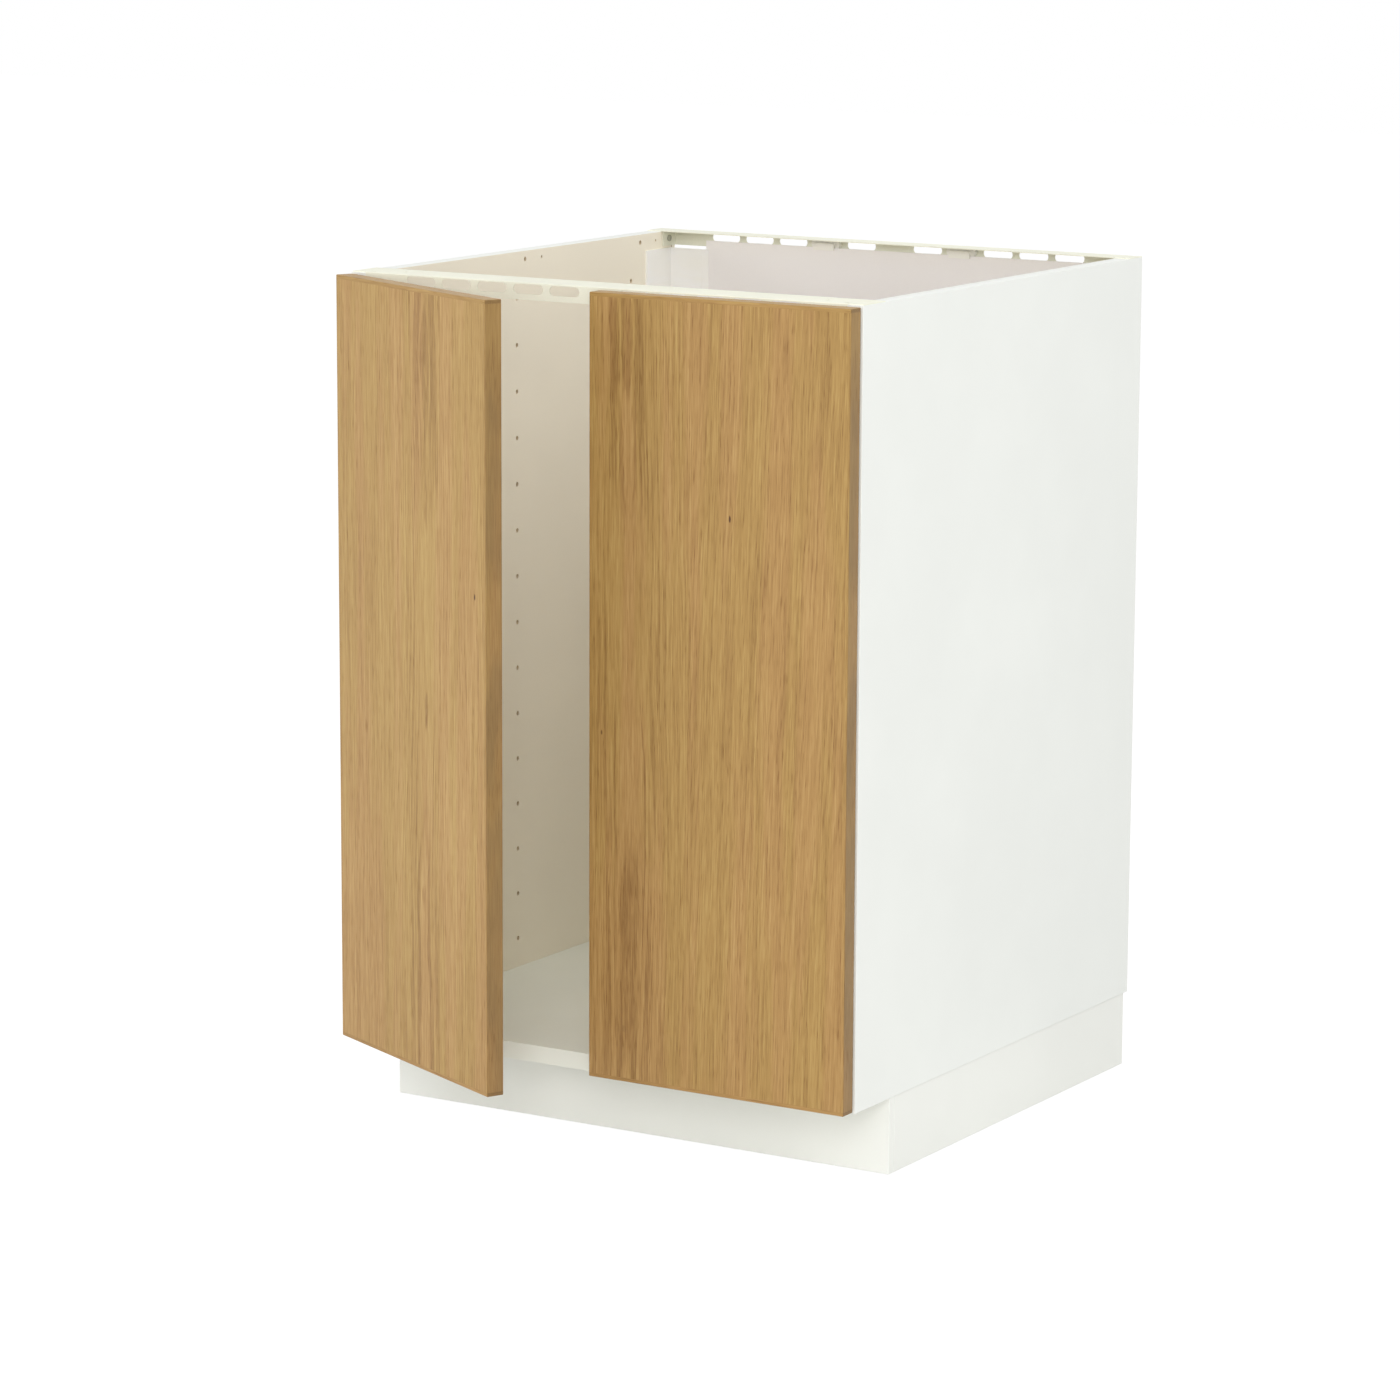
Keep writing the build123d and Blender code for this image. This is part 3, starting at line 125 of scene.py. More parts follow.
class ShaderBook:
    """Node tree under construction, with one method for any node and a few for common ones."""

    def __init__(self, owner: bpy.types.Material | bpy.types.World) -> None:
        """Start an empty node tree for a material or a world."""
        owner.use_nodes = True
        self.owner = owner
        self.tree = owner.node_tree
        self.tree.nodes.clear()

    @classmethod
    def of_material(cls, name: str) -> "ShaderBook":
        """Book of a new material of that name."""
        return cls(bpy.data.materials.new(name))

    def node(
        self,
        kind: str,
        settings: dict[str, object] | None = None,
        sockets: dict[str | int, object] | None = None,
        output: str | int = 0,
    ) -> Signal:
        """Add a node.

        Args:
            kind: Blender's type name of the node.
            settings: Properties, set before the sockets; "stops" fills a colour ramp.
            sockets: Values or signals of its inputs, by name or number.
            output: Output to hand back.

        Returns:
            The chosen output as a signal.
        """
        made = self.tree.nodes.new(kind)
        for key, value in (settings or {}).items():
            if key == "stops":
                self._fill_ramp(made.color_ramp, value)
            else:
                setattr(made, key, value)
        for key, value in (sockets or {}).items():
            if isinstance(value, Signal):
                self.tree.links.new(value.socket, made.inputs[key])
            else:
                made.inputs[key].default_value = value
        return Signal(self, made.outputs[output])

    @staticmethod
    def _fill_ramp(ramp: bpy.types.ColorRamp, stops: list[tuple[float, Colour]]) -> None:
        """Give a colour ramp its stops, as (place, linear colour) pairs in order."""
        while len(ramp.elements) > 1:
            ramp.elements.remove(ramp.elements[-1])
        ramp.elements[0].position = stops[0][0]
        ramp.elements[0].color = (*stops[0][1], 1.0)
        for place, colour in stops[1:]:
            ramp.elements.new(place).color = (*colour, 1.0)

    def math(self, operation: str, *values: Value) -> Signal:
        """Math node on numbers and signals."""
        return self.node("ShaderNodeMath", {"operation": operation}, dict(enumerate(values)))

    def step(self, value: Value, low: float, high: float) -> Signal:
        """Smooth step from 0 at low to 1 at high; it falls where low is above high."""
        return self.node(
            "ShaderNodeMapRange",
            {"interpolation_type": "SMOOTHSTEP"},
            {0: value, 1: low, 2: high, 3: 0.0, 4: 1.0},
        )

    def place(self, shift: Triple = (0, 0, 0), turn: float = 0.0) -> Signal:
        """Object coordinates seen from a local frame.

        Args:
            shift: Origin of the local frame, in metres.
            turn: Its turn about +Z, in degrees.

        Returns:
            The point in that frame, as a vector signal.
        """
        point = self.node("ShaderNodeTexCoord", output="Object")
        return self.node(
            "ShaderNodeMapping",
            {"vector_type": "TEXTURE"},
            {"Vector": point, "Location": shift, "Rotation": (0.0, 0.0, math.radians(turn))},
        )

    def split(self, vector: Signal) -> tuple[Signal, Signal, Signal]:
        """The three parts of a vector."""
        first = self.node("ShaderNodeSeparateXYZ", sockets={0: vector})
        outputs = first.socket.node.outputs
        return first, Signal(self, outputs[1]), Signal(self, outputs[2])

    def join(self, x: Value, y: Value, z: Value) -> Signal:
        """A vector from three parts."""
        return self.node("ShaderNodeCombineXYZ", sockets={0: x, 1: y, 2: z})

    def stretch(self, vector: Signal, scale: Triple) -> Signal:
        """A vector times a scale for each axis."""
        return self.node("ShaderNodeVectorMath", {"operation": "MULTIPLY"}, {0: vector, 1: scale})

    def pick(self, share: Value, first: Signal, second: Signal) -> Signal:
        """Blend of two vectors; share 0 gives the first."""
        return self.node(
            "ShaderNodeMix",
            {"data_type": "VECTOR"},
            {"Factor": share, 4: first, 5: second},
            output=1,
        )

    def noise(self, vector: Signal, scale: float, detail: float, rough: float = 0.5) -> Signal:
        """Perlin noise, about 0 to 1 with its middle at 0.5."""
        return self.node(
            "ShaderNodeTexNoise",
            sockets={"Vector": vector, "Scale": scale, "Detail": detail, "Roughness": rough},
        )

    def streaks(self, vector: Signal, waves: Triple, detail: float, rough: float = 0.5) -> Signal:
        """Perlin noise with its own number of waves per metre along each axis."""
        return self.noise(self.stretch(vector, waves), 1.0, detail, rough)

    def ramp(self, value: Signal, stops: list[tuple[float, Colour]]) -> Signal:
        """Colour ramp over a value."""
        return self.node("ShaderNodeValToRGB", {"stops": stops}, {0: value})

    def tint(
        self, share: Value, first: Signal | Colour, second: Signal | Colour, blend: str = "MIX"
    ) -> Signal:
        """Blend of two colours; share 0 gives the first."""
        ends = [c if isinstance(c, Signal) else (*c, 1.0) for c in (first, second)]
        return self.node(
            "ShaderNodeMix",
            {"data_type": "RGBA", "blend_type": blend},
            {"Factor": share, 6: ends[0], 7: ends[1]},
            output=2,
        )

    def bump(self, height: Signal, distance: float, strength: float) -> Signal:
        """Normal from a height map whose full range is distance metres."""
        return self.node(
            "ShaderNodeBump", sockets={"Height": height, "Distance": distance, "Strength": strength}
        )

    def finish(self, sockets: dict[str, object]) -> bpy.types.Material:
        """End the material in one Principled shader.

        Args:
            sockets: Inputs of the shader by name, with colours as three numbers.

        Returns:
            The finished material.
        """
        inputs = {}
        for key, value in sockets.items():
            is_colour = isinstance(value, tuple) and len(value) == 3
            inputs[key] = (*value, 1.0) if is_colour else value
        self.surface(self.node("ShaderNodeBsdfPrincipled", sockets=inputs))
        return self.owner

    def surface(self, shader: Signal, output: str = "ShaderNodeOutputMaterial") -> None:
        """Link a shader to the surface of an output node."""
        end = self.tree.nodes.new(output)
        self.tree.links.new(shader.socket, end.inputs["Surface"])


# ------------------------------------------------------------------ noise layers
@dataclass(frozen=True)
class Layer:
    """Layer of noise: waves per metre along each axis, octaves, their roughness, and a weight."""

    waves: Triple
    octaves: float
    roughness: float = 0.5
    weight: float = 1.0

    def over(self, book: ShaderBook, point: Signal) -> Signal:
        """The layer at a point, round 0 and times its weight."""
        return (book.streaks(point, self.waves, self.octaves, self.roughness) - 0.5) * self.weight


@dataclass(frozen=True)
class Marks:
    """Marks where a noise passes a threshold, with the values where they begin and are full."""

    waves: Triple
    begin: float
    full: float
    octaves: float = 1.0

    def over(self, book: ShaderBook, point: Signal) -> Signal:
        """Share of the mark at a point, from 0 to 1."""
        return book.step(book.streaks(point, self.waves, self.octaves), self.begin, self.full)


class Grain(Enum):
    """Layers of the oak: four that bend its growth rings, in metres, and four for its tone."""

    SWAY = Layer((4.0, 4.0, 1.6), 2.0, weight=0.030)
    DRIFT = Layer((2.5, 2.5, 2.4), 1.0, weight=0.017)
    RIPPLE = Layer((6.0, 6.0, 8.0), 1.0, weight=0.0045)
    WOBBLE = Layer((55.0, 55.0, 11.0), 3.0, 0.6, weight=0.0052)
    FIBRE = Layer((760.0, 760.0, 22.0), 2.0, 0.6, weight=0.86)
    CORD = Layer((220.0, 220.0, 26.0), 2.0, weight=0.12)
    BAND = Layer((60.0, 60.0, 8.0), 2.0, weight=0.12)
    CLOUD = Layer((16.0, 16.0, 3.0), 2.0, weight=0.19)


class Figure(Enum):
    """How a leaf of oak was cut, by the distance of the pith behind its face, in metres."""

    CROWN = 0.018
    RIFT = 0.110


# ------------------------------------------------------------------ oak
@dataclass(frozen=True)
class Knot:
    """Small dark mark in a face: its place and half sizes, in metres, and its strength."""

    across: float
    up: float
    half_width: float
    half_height: float
    strength: float

    def distance(self, x: Signal, z: Signal, reach: float = 1.0) -> tuple[Signal, Signal]:
        """Signed distance across, and squared distance, in knot sizes times reach."""
        side = (x - self.across) / (self.half_width * reach)
        rise = (z - self.up) / (self.half_height * reach)
        return side, side * side + rise * rise


@dataclass(frozen=True)
class Leaf:
    """One leaf of veneer: where it starts across the door, its pith line, its cut and its tone.

    The seed moves its noise, and lean is how far its grain leans, in metres per metre of height.
    """

    start: float
    pith: float
    figure: Figure
    tone: float
    seed: float
    lean: float = 0.0


@dataclass(frozen=True)
class OakDoor:
    """Lacquered oak of one door: a veneered face and solid strips round it.

    Pairs are the two values between which a smooth step runs. Tones are shares of the colour ramp.
    """

    corner: Triple
    turn: float
    leaves: tuple[Leaf, ...]
    knots: tuple[Knot, ...]
    width: float = 0.297
    bottom: float = 0.0815
    height: float = 0.797
    strip: float = 0.004

    stops: Triple = (0.08, 0.52, 0.96)
    shades: tuple[Colour, Colour, Colour] = (
        paint_code(139, 104, 56),
        paint_code(173, 138, 82),
        paint_code(198, 168, 109),
    )
    patches: Marks = Marks((38.0, 38.0, 2.6), 0.41, 0.59, octaves=2.0)
    straw: Colour = (0.995, 0.985, 0.90)
    pink: Colour = (1.020, 0.968, 0.97)

    seed_step: tuple[float, float] = (3.1, 1.7)
    rings_per_metre: float = 470.0
    ring_drift: float = 3.0
    early_wood: tuple[float, float] = (0.55, 0.37)
    crown_reach: tuple[float, float] = (0.008, 0.050)
    pores: Marks = Marks((1000.0, 1000.0, 52.0), 0.50, 0.72)
    late_pores: float = 0.45
    streaks: Marks = Marks((150.0, 150.0, 2.4), 0.62, 0.72)
    base_tone: float = 0.595
    early_tone: float = 0.11
    crown_tone: float = 0.19
    streak_tone: float = 0.08
    pore_tone: float = 0.29

    seam: tuple[float, float] = (0.0001, 0.0006)
    seam_tone: float = 0.10
    knot_reach: float = 5.0
    knot_bend: float = 2.2
    knot_ragged: float = 0.8
    knot_waves: Triple = (900.0, 900.0, 300.0)
    knot_edge: tuple[float, float] = (0.5, 1.8)
    knot_colour: Colour = paint_code(84, 52, 28)

    strip_pith: float = -0.08
    strip_depth: float = 0.05
    strip_seed: float = 3.7
    strip_tone: float = 0.08
    strip_joint: tuple[float, float] = (0.0001, 0.0004)
    joint_share: float = 0.35
    outer_skin: tuple[float, float] = (0.0006, 0.0002)
    outer_clouds: Marks = Marks((70.0, 30.0, 9.0), 0.35, 0.65, octaves=2.0)
    outer_least: float = 0.55
    outer_share: float = 0.62
    outer_colour: Colour = paint_code(120, 97, 64)
    end_share: float = 0.45
    end_colour: Colour = paint_code(104, 78, 46)
    touch: float = 0.00002

    roughness: float = 0.44
    pore_swing: float = 0.16
    ridge_share: float = 0.25
    relief: float = 0.00006
    shine: float = 0.35

    def _grain(
        self, book: ShaderBook, point: Signal, pith: Value, depth: Value, seed: Value
    ) -> tuple[Signal, Signal]:
        """Growth rings cut by the face, with pores and fibres along local Z.

        The rings' radius is the root of (x - pith)^2 + depth(z)^2, where depth drifts with height,
        so the cut shows arches near the pith line and straight stripes away from it.

        Args:
            book: Material under construction.
            point: Point in the door's frame.
            pith: Place of the pith line across the face.
            depth: Distance of the pith behind the face.
            seed: Number that moves the noise.

        Returns:
            Tone of the wood and depth of its pores, both about 0 to 1.
        """
        x, y, z = book.split(point)
        moved = book.join(x + seed * self.seed_step[0], y, z + seed * self.seed_step[1])
        layer = {kind: kind.value.over(book, moved) for kind in Grain}
        across = x - pith + layer[Grain.SWAY]
        behind = depth + layer[Grain.DRIFT] + layer[Grain.RIPPLE]
        radius = book.math("SQRT", across * across + behind * behind) + layer[Grain.WOBBLE]
        rings = book.join(radius * self.rings_per_metre, z * self.ring_drift, 0.0)
        ring = book.noise(rings, 1.0, 1.0)
        early = book.step(ring, *self.early_wood)
        crown = 1.0 - book.step(abs(across), *self.crown_reach)
        pores = self.pores.over(book, moved) * (self.late_pores + (1.0 - self.late_pores) * early)
        tone = self.base_tone - early * (self.early_tone + crown * self.crown_tone)
        for kind in (Grain.FIBRE, Grain.CORD, Grain.BAND, Grain.CLOUD):
            tone = tone + layer[kind]
        tone = tone + self.streaks.over(book, moved) * self.streak_tone
        return tone - pores * self.pore_tone, pores

    def _colour(self, book: ShaderBook, tone: Signal, point: Signal) -> Signal:
        """Tone turned into oak colours, with patches that lean to pink or to straw."""
        colour = book.ramp(tone, list(zip(self.stops, self.shades)))
        straw = book.tint(1.0, colour, self.straw, "MULTIPLY")
        pink = book.tint(1.0, colour, self.pink, "MULTIPLY")
        return book.tint(self.patches.over(book, point), straw, pink)

    def face(self, name: str) -> bpy.types.Material:
        """Veneer of the door's core: its leaves side by side, with their seams and knots.

        Args:
            name: Name of the material.

        Returns:
            The material.
        """
        book = ShaderBook.of_material(name)
        point = book.place(self.corner, self.turn)
        x, y, z = book.split(point)
        before = self.leaves[0]
        pith: Value = before.pith
        depth: Value = before.figure.value
        seed: Value = before.seed
        level: Value = before.tone
        lean: Value = before.lean
        seam: Value = 0.0
        for leaf in self.leaves[1:]:
            reached = book.math("GREATER_THAN", x, leaf.start)
            pith = pith + reached * (leaf.pith - before.pith)
            depth = depth + reached * (leaf.figure.value - before.figure.value)
            seed = seed + reached * (leaf.seed - before.seed)
            level = level + reached * (leaf.tone - before.tone)
            lean = lean + reached * (leaf.lean - before.lean)
            seam = seam + (1.0 - book.step(abs(x - leaf.start), *self.seam))
            before = leaf
        for knot in self.knots:
            side, squared = knot.distance(x, z, self.knot_reach)
            near = 1.0 - book.step(squared, 0.0, 1.0)
            pith = pith + near * side * knot.half_width * self.knot_bend
        leaning = book.join(x - lean * (z - self.bottom), y, z)
        tone, pores = self._grain(book, leaning, pith, depth, seed)
        tone = tone + level - seam * self.seam_tone
        colour = self._colour(book, tone, point)
        ragged = book.streaks(point, self.knot_waves, 1.0) * self.knot_ragged
        for knot in self.knots:
            _, squared = knot.distance(x, z)
            mark = 1.0 - book.step(squared + ragged, *self.knot_edge)
            colour = book.tint(mark * knot.strength, colour, self.knot_colour)
        return self._lacquer(book, colour, tone, pores)

    def strips(self, name: str) -> bpy.types.Material:
        """Solid strips round the core: grain along each strip, and darker outer sides.

        Args:
            name: Name of the material.

        Returns:
            The material.
        """
        book = ShaderBook.of_material(name)
        point = book.place(self.corner, self.turn)
        x, y, z = book.split(point)
        rise = abs(z - (self.bottom + self.height / 2))
        core = self.height / 2 - self.strip
        lying = book.math("GREATER_THAN", rise, core - self.touch)
        along = book.pick(lying, point, book.join(z, y, x))
        tone, pores = self._grain(book, along, self.strip_pith, self.strip_depth, self.strip_seed)
        colour = self._colour(book, tone - self.strip_tone, along)
        edges = (self.width / 2 - skin for skin in self.outer_skin)
        outer_side = book.step(abs(x - self.width / 2), *edges)
        clouds = self.outer_clouds.over(book, point)
        shade = outer_side * (self.outer_least + (1.0 - self.outer_least) * clouds)
        colour = book.tint(shade * self.outer_share, colour, self.outer_colour)
        colour = book.tint(lying * outer_side * self.end_share, colour, self.end_colour)
        joint = 1.0 - book.step(abs(rise - core), *self.strip_joint)
        colour = book.tint(joint * self.joint_share, colour, self.shades[0])
        return self._lacquer(book, colour, tone, pores)

    def _lacquer(
        self, book: ShaderBook, colour: Signal, tone: Signal, pores: Signal
    ) -> bpy.types.Material:
        """Thin clear lacquer that leaves the pores open.

        Args:
            book: Material under construction.
            colour: Colour of the wood.
            tone: Tone of the wood, which also makes soft ridges.
            pores: Depth of the pores.

        Returns:
            The material.
        """
        return book.finish(
            {
                "Base Color": colour,
                "Roughness": self.roughness + pores * self.pore_swing,
                "Normal": book.bump(tone * self.ridge_share - pores, self.relief, 0.7),
                "Specular IOR Level": self.shine,
            }
        )


RIGHT_OAK = OakDoor(
    corner=(0.0015, -0.302, 0.0),
    turn=0.0,
    leaves=(
        Leaf(0.0, 0.045, Figure.CROWN, -0.02, 0.6),
        Leaf(0.119, 0.330, Figure.RIFT, -0.06, 1.3, lean=0.030),
    ),
    knots=(
        Knot(0.163, 0.665, 0.0013, 0.0038, 1.0),
        Knot(0.042, 0.1365, 0.0028, 0.0040, 0.22),
        Knot(0.015, 0.438, 0.0011, 0.0026, 0.75),
    ),
)
LEFT_OAK = OakDoor(
    corner=(-0.29833, -0.300595, 0.0),
    turn=-25.6,
    leaves=(
        Leaf(0.0, 0.420, Figure.RIFT, 0.03, 2.1),
        Leaf(0.115, 0.178, Figure.CROWN, 0.05, 2.9),
        Leaf(0.242, -0.10, Figure.RIFT, 0.02, 4.3),
    ),
    knots=(Knot(0.276, 0.584, 0.0015, 0.0034, 0.95),),
)


# ------------------------------------------------------------------ other finishes
class Surface(ABC):
    """Finish of a piece, ended in one Principled shader.

    In its classes, noises are in waves per metre, relief is in metres, and a swing is the change of
    roughness over the whole range of a noise.
    """

    @abstractmethod
    def shade(self, book: ShaderBook, point: Signal) -> dict[str, object]:
        """Work out the shader's inputs.

        Args:
            book: Material under construction.
            point: Point of the object.

        Returns:
            Inputs of the Principled shader, by name.
        """

    def make(self, name: str) -> bpy.types.Material:
        """Build the material.

        Args:
            name: Name of the material.

        Returns:
            The material.
        """
        book = ShaderBook.of_material(name)
        return book.finish(self.shade(book, book.place()))


@dataclass(frozen=True)
class Foil(Surface):
    """White decor foil: fine pearl grain, and a faint cloud in its colour."""

    colour: Colour
    roughness: float = 0.48
    pearl: float = 900.0
    relief: float = 0.00003
    cloud: float = 5.0
    cloud_swing: float = 0.10
    pearl_swing: float = 0.06
    pearl_share: float = 0.25
    dim: Colour = (0.955, 0.955, 0.955)
    shine: float = 0.28

    def _cloud(self, book: ShaderBook, point: Signal) -> Signal:
        """Slow change over the board, round 0."""
        return book.noise(point, self.cloud, 3.0) - 0.5

    def _pearl(self, book: ShaderBook, point: Signal) -> Signal:
        """Pressed grain of the foil, about 0 to 1."""
        return book.noise(point, self.pearl, 2.0, 0.6)

    def _coat(self, book: ShaderBook, point: Signal, colour: Signal | Colour) -> Signal:
        """A colour with the foil's faint cloud and grain in it."""
        level = self._cloud(book, point) + (self._pearl(book, point) - 0.5) * self.pearl_share
        dimmed = book.tint(1.0, colour, self.dim, "MULTIPLY")
        return book.tint(book.step(level, -0.25, 0.3), dimmed, colour)

    def _paint(self, book: ShaderBook, point: Signal) -> Signal:
        """Colour over the whole board."""
        return self._coat(book, point, self.colour)

    def shade(self, book: ShaderBook, point: Signal) -> dict[str, object]:
        """Colour by _paint, and gloss that changes with cloud and grain."""
        pearl = self._pearl(book, point)
        gloss = self.roughness + self._cloud(book, point) * self.cloud_swing
        return {
            "Base Color": self._paint(book, point),
            "Roughness": gloss + (pearl - 0.5) * self.pearl_swing,
            "Normal": book.bump(pearl, self.relief, 0.6),
            "Specular IOR Level": self.shine,
        }


@dataclass(frozen=True)
class Board(Foil):
    """Chipboard under foil: raw chips show in its bores and grooves.

    The board is the box of half size half round middle, with X taken without its sign, so that one
    finish serves both sides. A side panel's face towards the space between the sides gets a warmer
    colour, which is painted warm light bounced from the oak doors.
    """

    middle: Triple = (0.0, 0.0, 0.0)
    half: Triple = (1.0, 1.0, 1.0)
    painted_bounce_colour: Colour | None = None
    skin: float = 0.0005
    skin_end: float = 0.0002
    touch: float = 0.0001
    chip: float = 700.0
    chips: tuple[Colour, Colour] = (paint_code(222, 202, 168), paint_code(242, 228, 202))

    def _paint(self, book: ShaderBook, point: Signal) -> Signal:
        """Foil outside, and chips of two tones inside the board's skin."""
        x, y, z = book.split(point)
        inside: Value = 1.0
        for place, middle, half in zip((abs(x), y, z), self.middle, self.half):
            out = book.step(abs(place - middle), half - self.skin, half - self.skin_end)
            inside = (1.0 - out) * inside
        colour: Signal | Colour = self.colour
        # Painted bounce light: the side panel's inner face gets a warmer colour than its outer face.
        if self.painted_bounce_colour:
            reach = self.middle[0] - self.half[0] + self.touch
            painted_bounce_share = 1.0 - book.step(abs(x), reach, reach + self.touch)
            colour = book.tint(painted_bounce_share, self.colour, self.painted_bounce_colour)
        chip = book.step(book.noise(point, self.chip, 2.0, 0.7), 0.40, 0.60)
        return book.tint(inside, self._coat(book, point, colour), book.tint(chip, *self.chips))


@dataclass(frozen=True)
class PowderCoat(Surface):
    """Powder-coated sheet steel: orange-peel surface with a satin skin."""

    colour: Colour
    roughness: float = 0.50
    peel: float = 620.0
    cloud: float = 12.0
    cloud_swing: float = 0.12
    peel_share: float = 0.3
    thin: float = 0.93
    relief: float = 0.00005
    shine: float = 0.22

    def shade(self, book: ShaderBook, point: Signal) -> dict[str, object]:
        """Colour that thins out in places, over a coarse peel."""
        peel = book.noise(point, self.peel, 2.0, 0.45)
        cloud = book.noise(point, self.cloud, 2.0) - 0.5
        thick = book.step(cloud + (peel - 0.5) * self.peel_share, -0.25, 0.25)
        return {
            "Base Color": book.tint(thick, tuple(c * self.thin for c in self.colour), self.colour),
            "Roughness": self.roughness + cloud * self.cloud_swing,
            "Normal": book.bump(peel, self.relief, 0.7),
            "Specular IOR Level": self.shine,
        }


@dataclass(frozen=True)
class Moulded(Surface):
    """Moulded plastic: spark-eroded grain, with faint flow marks."""

    colour: Colour
    roughness: float = 0.45
    grain: float = 1500.0
    flow: Layer = Layer((18.0, 18.0, 60.0), 3.0)
    flow_swing: float = 0.16
    grain_swing: float = 0.08
    scuff_gain: float = 1.06
    scuff_lift: float = 0.004
    relief: float = 0.00004

    def shade(self, book: ShaderBook, point: Signal) -> dict[str, object]:
        """Colour that is scuffed lighter along the flow marks."""
        grain = book.noise(point, self.grain, 2.0, 0.6)
        flow = self.flow.over(book, point)
        scuffed = tuple(min(1.0, c * self.scuff_gain + self.scuff_lift) for c in self.colour)
        return {
            "Base Color": book.tint(book.step(flow, -0.1, 0.3), self.colour, scuffed),
            "Roughness": self.roughness + flow * self.flow_swing + (grain - 0.5) * self.grain_swing,
            "Normal": book.bump(grain, self.relief, 0.6),
        }


@dataclass(frozen=True)
class Plated(Surface):
    """Plated metal: drawn lines along one axis, cloudy gloss and fine scratches."""

    colour: Colour
    roughness: float
    drawn: Triple = (1500.0, 1500.0, 90.0)
    cloud: float = 140.0
    cloud_swing: float = 0.18
    line_swing: float = 0.12
    dull: float = 0.80
    relief: float = 0.00001

    def shade(self, book: ShaderBook, point: Signal) -> dict[str, object]:
        """Metal whose colour and gloss are dull in clouds."""
        lines = book.streaks(point, self.drawn, 2.0, 0.6)
        cloud = book.noise(point, self.cloud, 3.0) - 0.5
        dull = tuple(c * self.dull for c in self.colour)
        gloss = self.roughness + cloud * self.cloud_swing
        return {
            "Base Color": book.tint(book.step(cloud, -0.2, 0.25), dull, self.colour),
            "Metallic": 1.0,
            "Roughness": gloss + (lines - 0.5) * self.line_swing,
            "Normal": book.bump(lines, self.relief, 0.5),
        }


@dataclass(frozen=True)
class Beech(Surface):
    """Beech dowel: pale pink wood with short darker flecks along the dowel."""

    colour: Colour = paint_code(214, 180, 138)
    fleck: Colour = paint_code(176, 132, 92)
    fibre: Triple = (40.0, 900.0, 900.0)
    flecks: Marks = Marks((260.0, 2200.0, 2200.0), 0.56, 0.70)
    roughness: float = 0.62
    relief: float = 0.00005

    def shade(self, book: ShaderBook, point: Signal) -> dict[str, object]:
        """Fibres and flecks in the colour, the gloss and the relief."""
        fibre = book.streaks(point, self.fibre, 2.0)
        flecks = self.flecks.over(book, point)
        return {
            "Base Color": book.tint(flecks * 0.6 + (fibre - 0.5) * 0.5, self.colour, self.fleck),
            "Roughness": self.roughness + (fibre - 0.5) * 0.2,
            "Normal": book.bump(fibre - flecks * 0.5, self.relief, 0.8),
        }


@dataclass(frozen=True)
class ClearPad(Surface):
    """Soft clear bumper: milky polymer with a satin skin."""

    colour: Colour = paint_code(228, 226, 218)
    cloudy: Colour = paint_code(206, 206, 200)
    milk: float = 420.0
    roughness: float = 0.30
    relief: float = 0.00003
    clearness: float = 0.35
    bending: float = 1.45

    def shade(self, book: ShaderBook, point: Signal) -> dict[str, object]:
        """Partly clear, with milk in the colour and the gloss."""
        milk = book.noise(point, self.milk, 2.0)
        return {
            "Base Color": book.tint(milk, self.colour, self.cloudy),
            "Roughness": self.roughness + (milk - 0.5) * 0.15,
            "Normal": book.bump(milk, self.relief, 0.5),
            "Transmission Weight": self.clearness,
            "IOR": self.bending,
        }


class Finish(Enum):
    """Finishes of the record's material slots, apart from the doors' oak."""

    SIDE_BOARD = Board(
        paint_code(244, 246, 241),
        middle=(0.291, 0.0, 0.480),
        half=(0.009, 0.300, 0.400),
        # Warm cream of the inner faces is painted light, bounced from the oak doors.
        painted_bounce_colour=paint_code(253, 246, 228),
    )
    FLOOR_BOARD = Board(
        paint_code(245, 248, 238), middle=(0.0, 0.0, 0.089), half=(0.282, 0.300, 0.009)
    )
    BACK_BOARD = Foil(paint_code(252, 249, 249), roughness=0.60, pearl=420.0, relief=0.00005)
    PLINTH_BOARD = Foil(paint_code(245, 246, 240), roughness=0.46)
    STRIP_PLASTIC = Moulded(paint_code(253, 252, 248), roughness=0.38)
    CLIP_PLASTIC = Moulded(paint_code(252, 250, 243), roughness=0.40)
    RAIL_STEEL = PowderCoat(paint_code(246, 246, 228))
    SCREW_STEEL = Plated(paint_code(196, 196, 190), 0.34)
    BEECH = Beech()
    ZINC = Plated(paint_code(176, 177, 178), 0.48, (300.0, 300.0, 300.0))
    LEG_PLASTIC = Moulded(paint_code(44, 44, 45), roughness=0.48)
    HINGE_STEEL = Plated(paint_code(205, 203, 197), 0.26)
    PIN_STEEL = Plated(paint_code(170, 170, 168), 0.30)
    BUMPER_CLEAR = ClearPad()


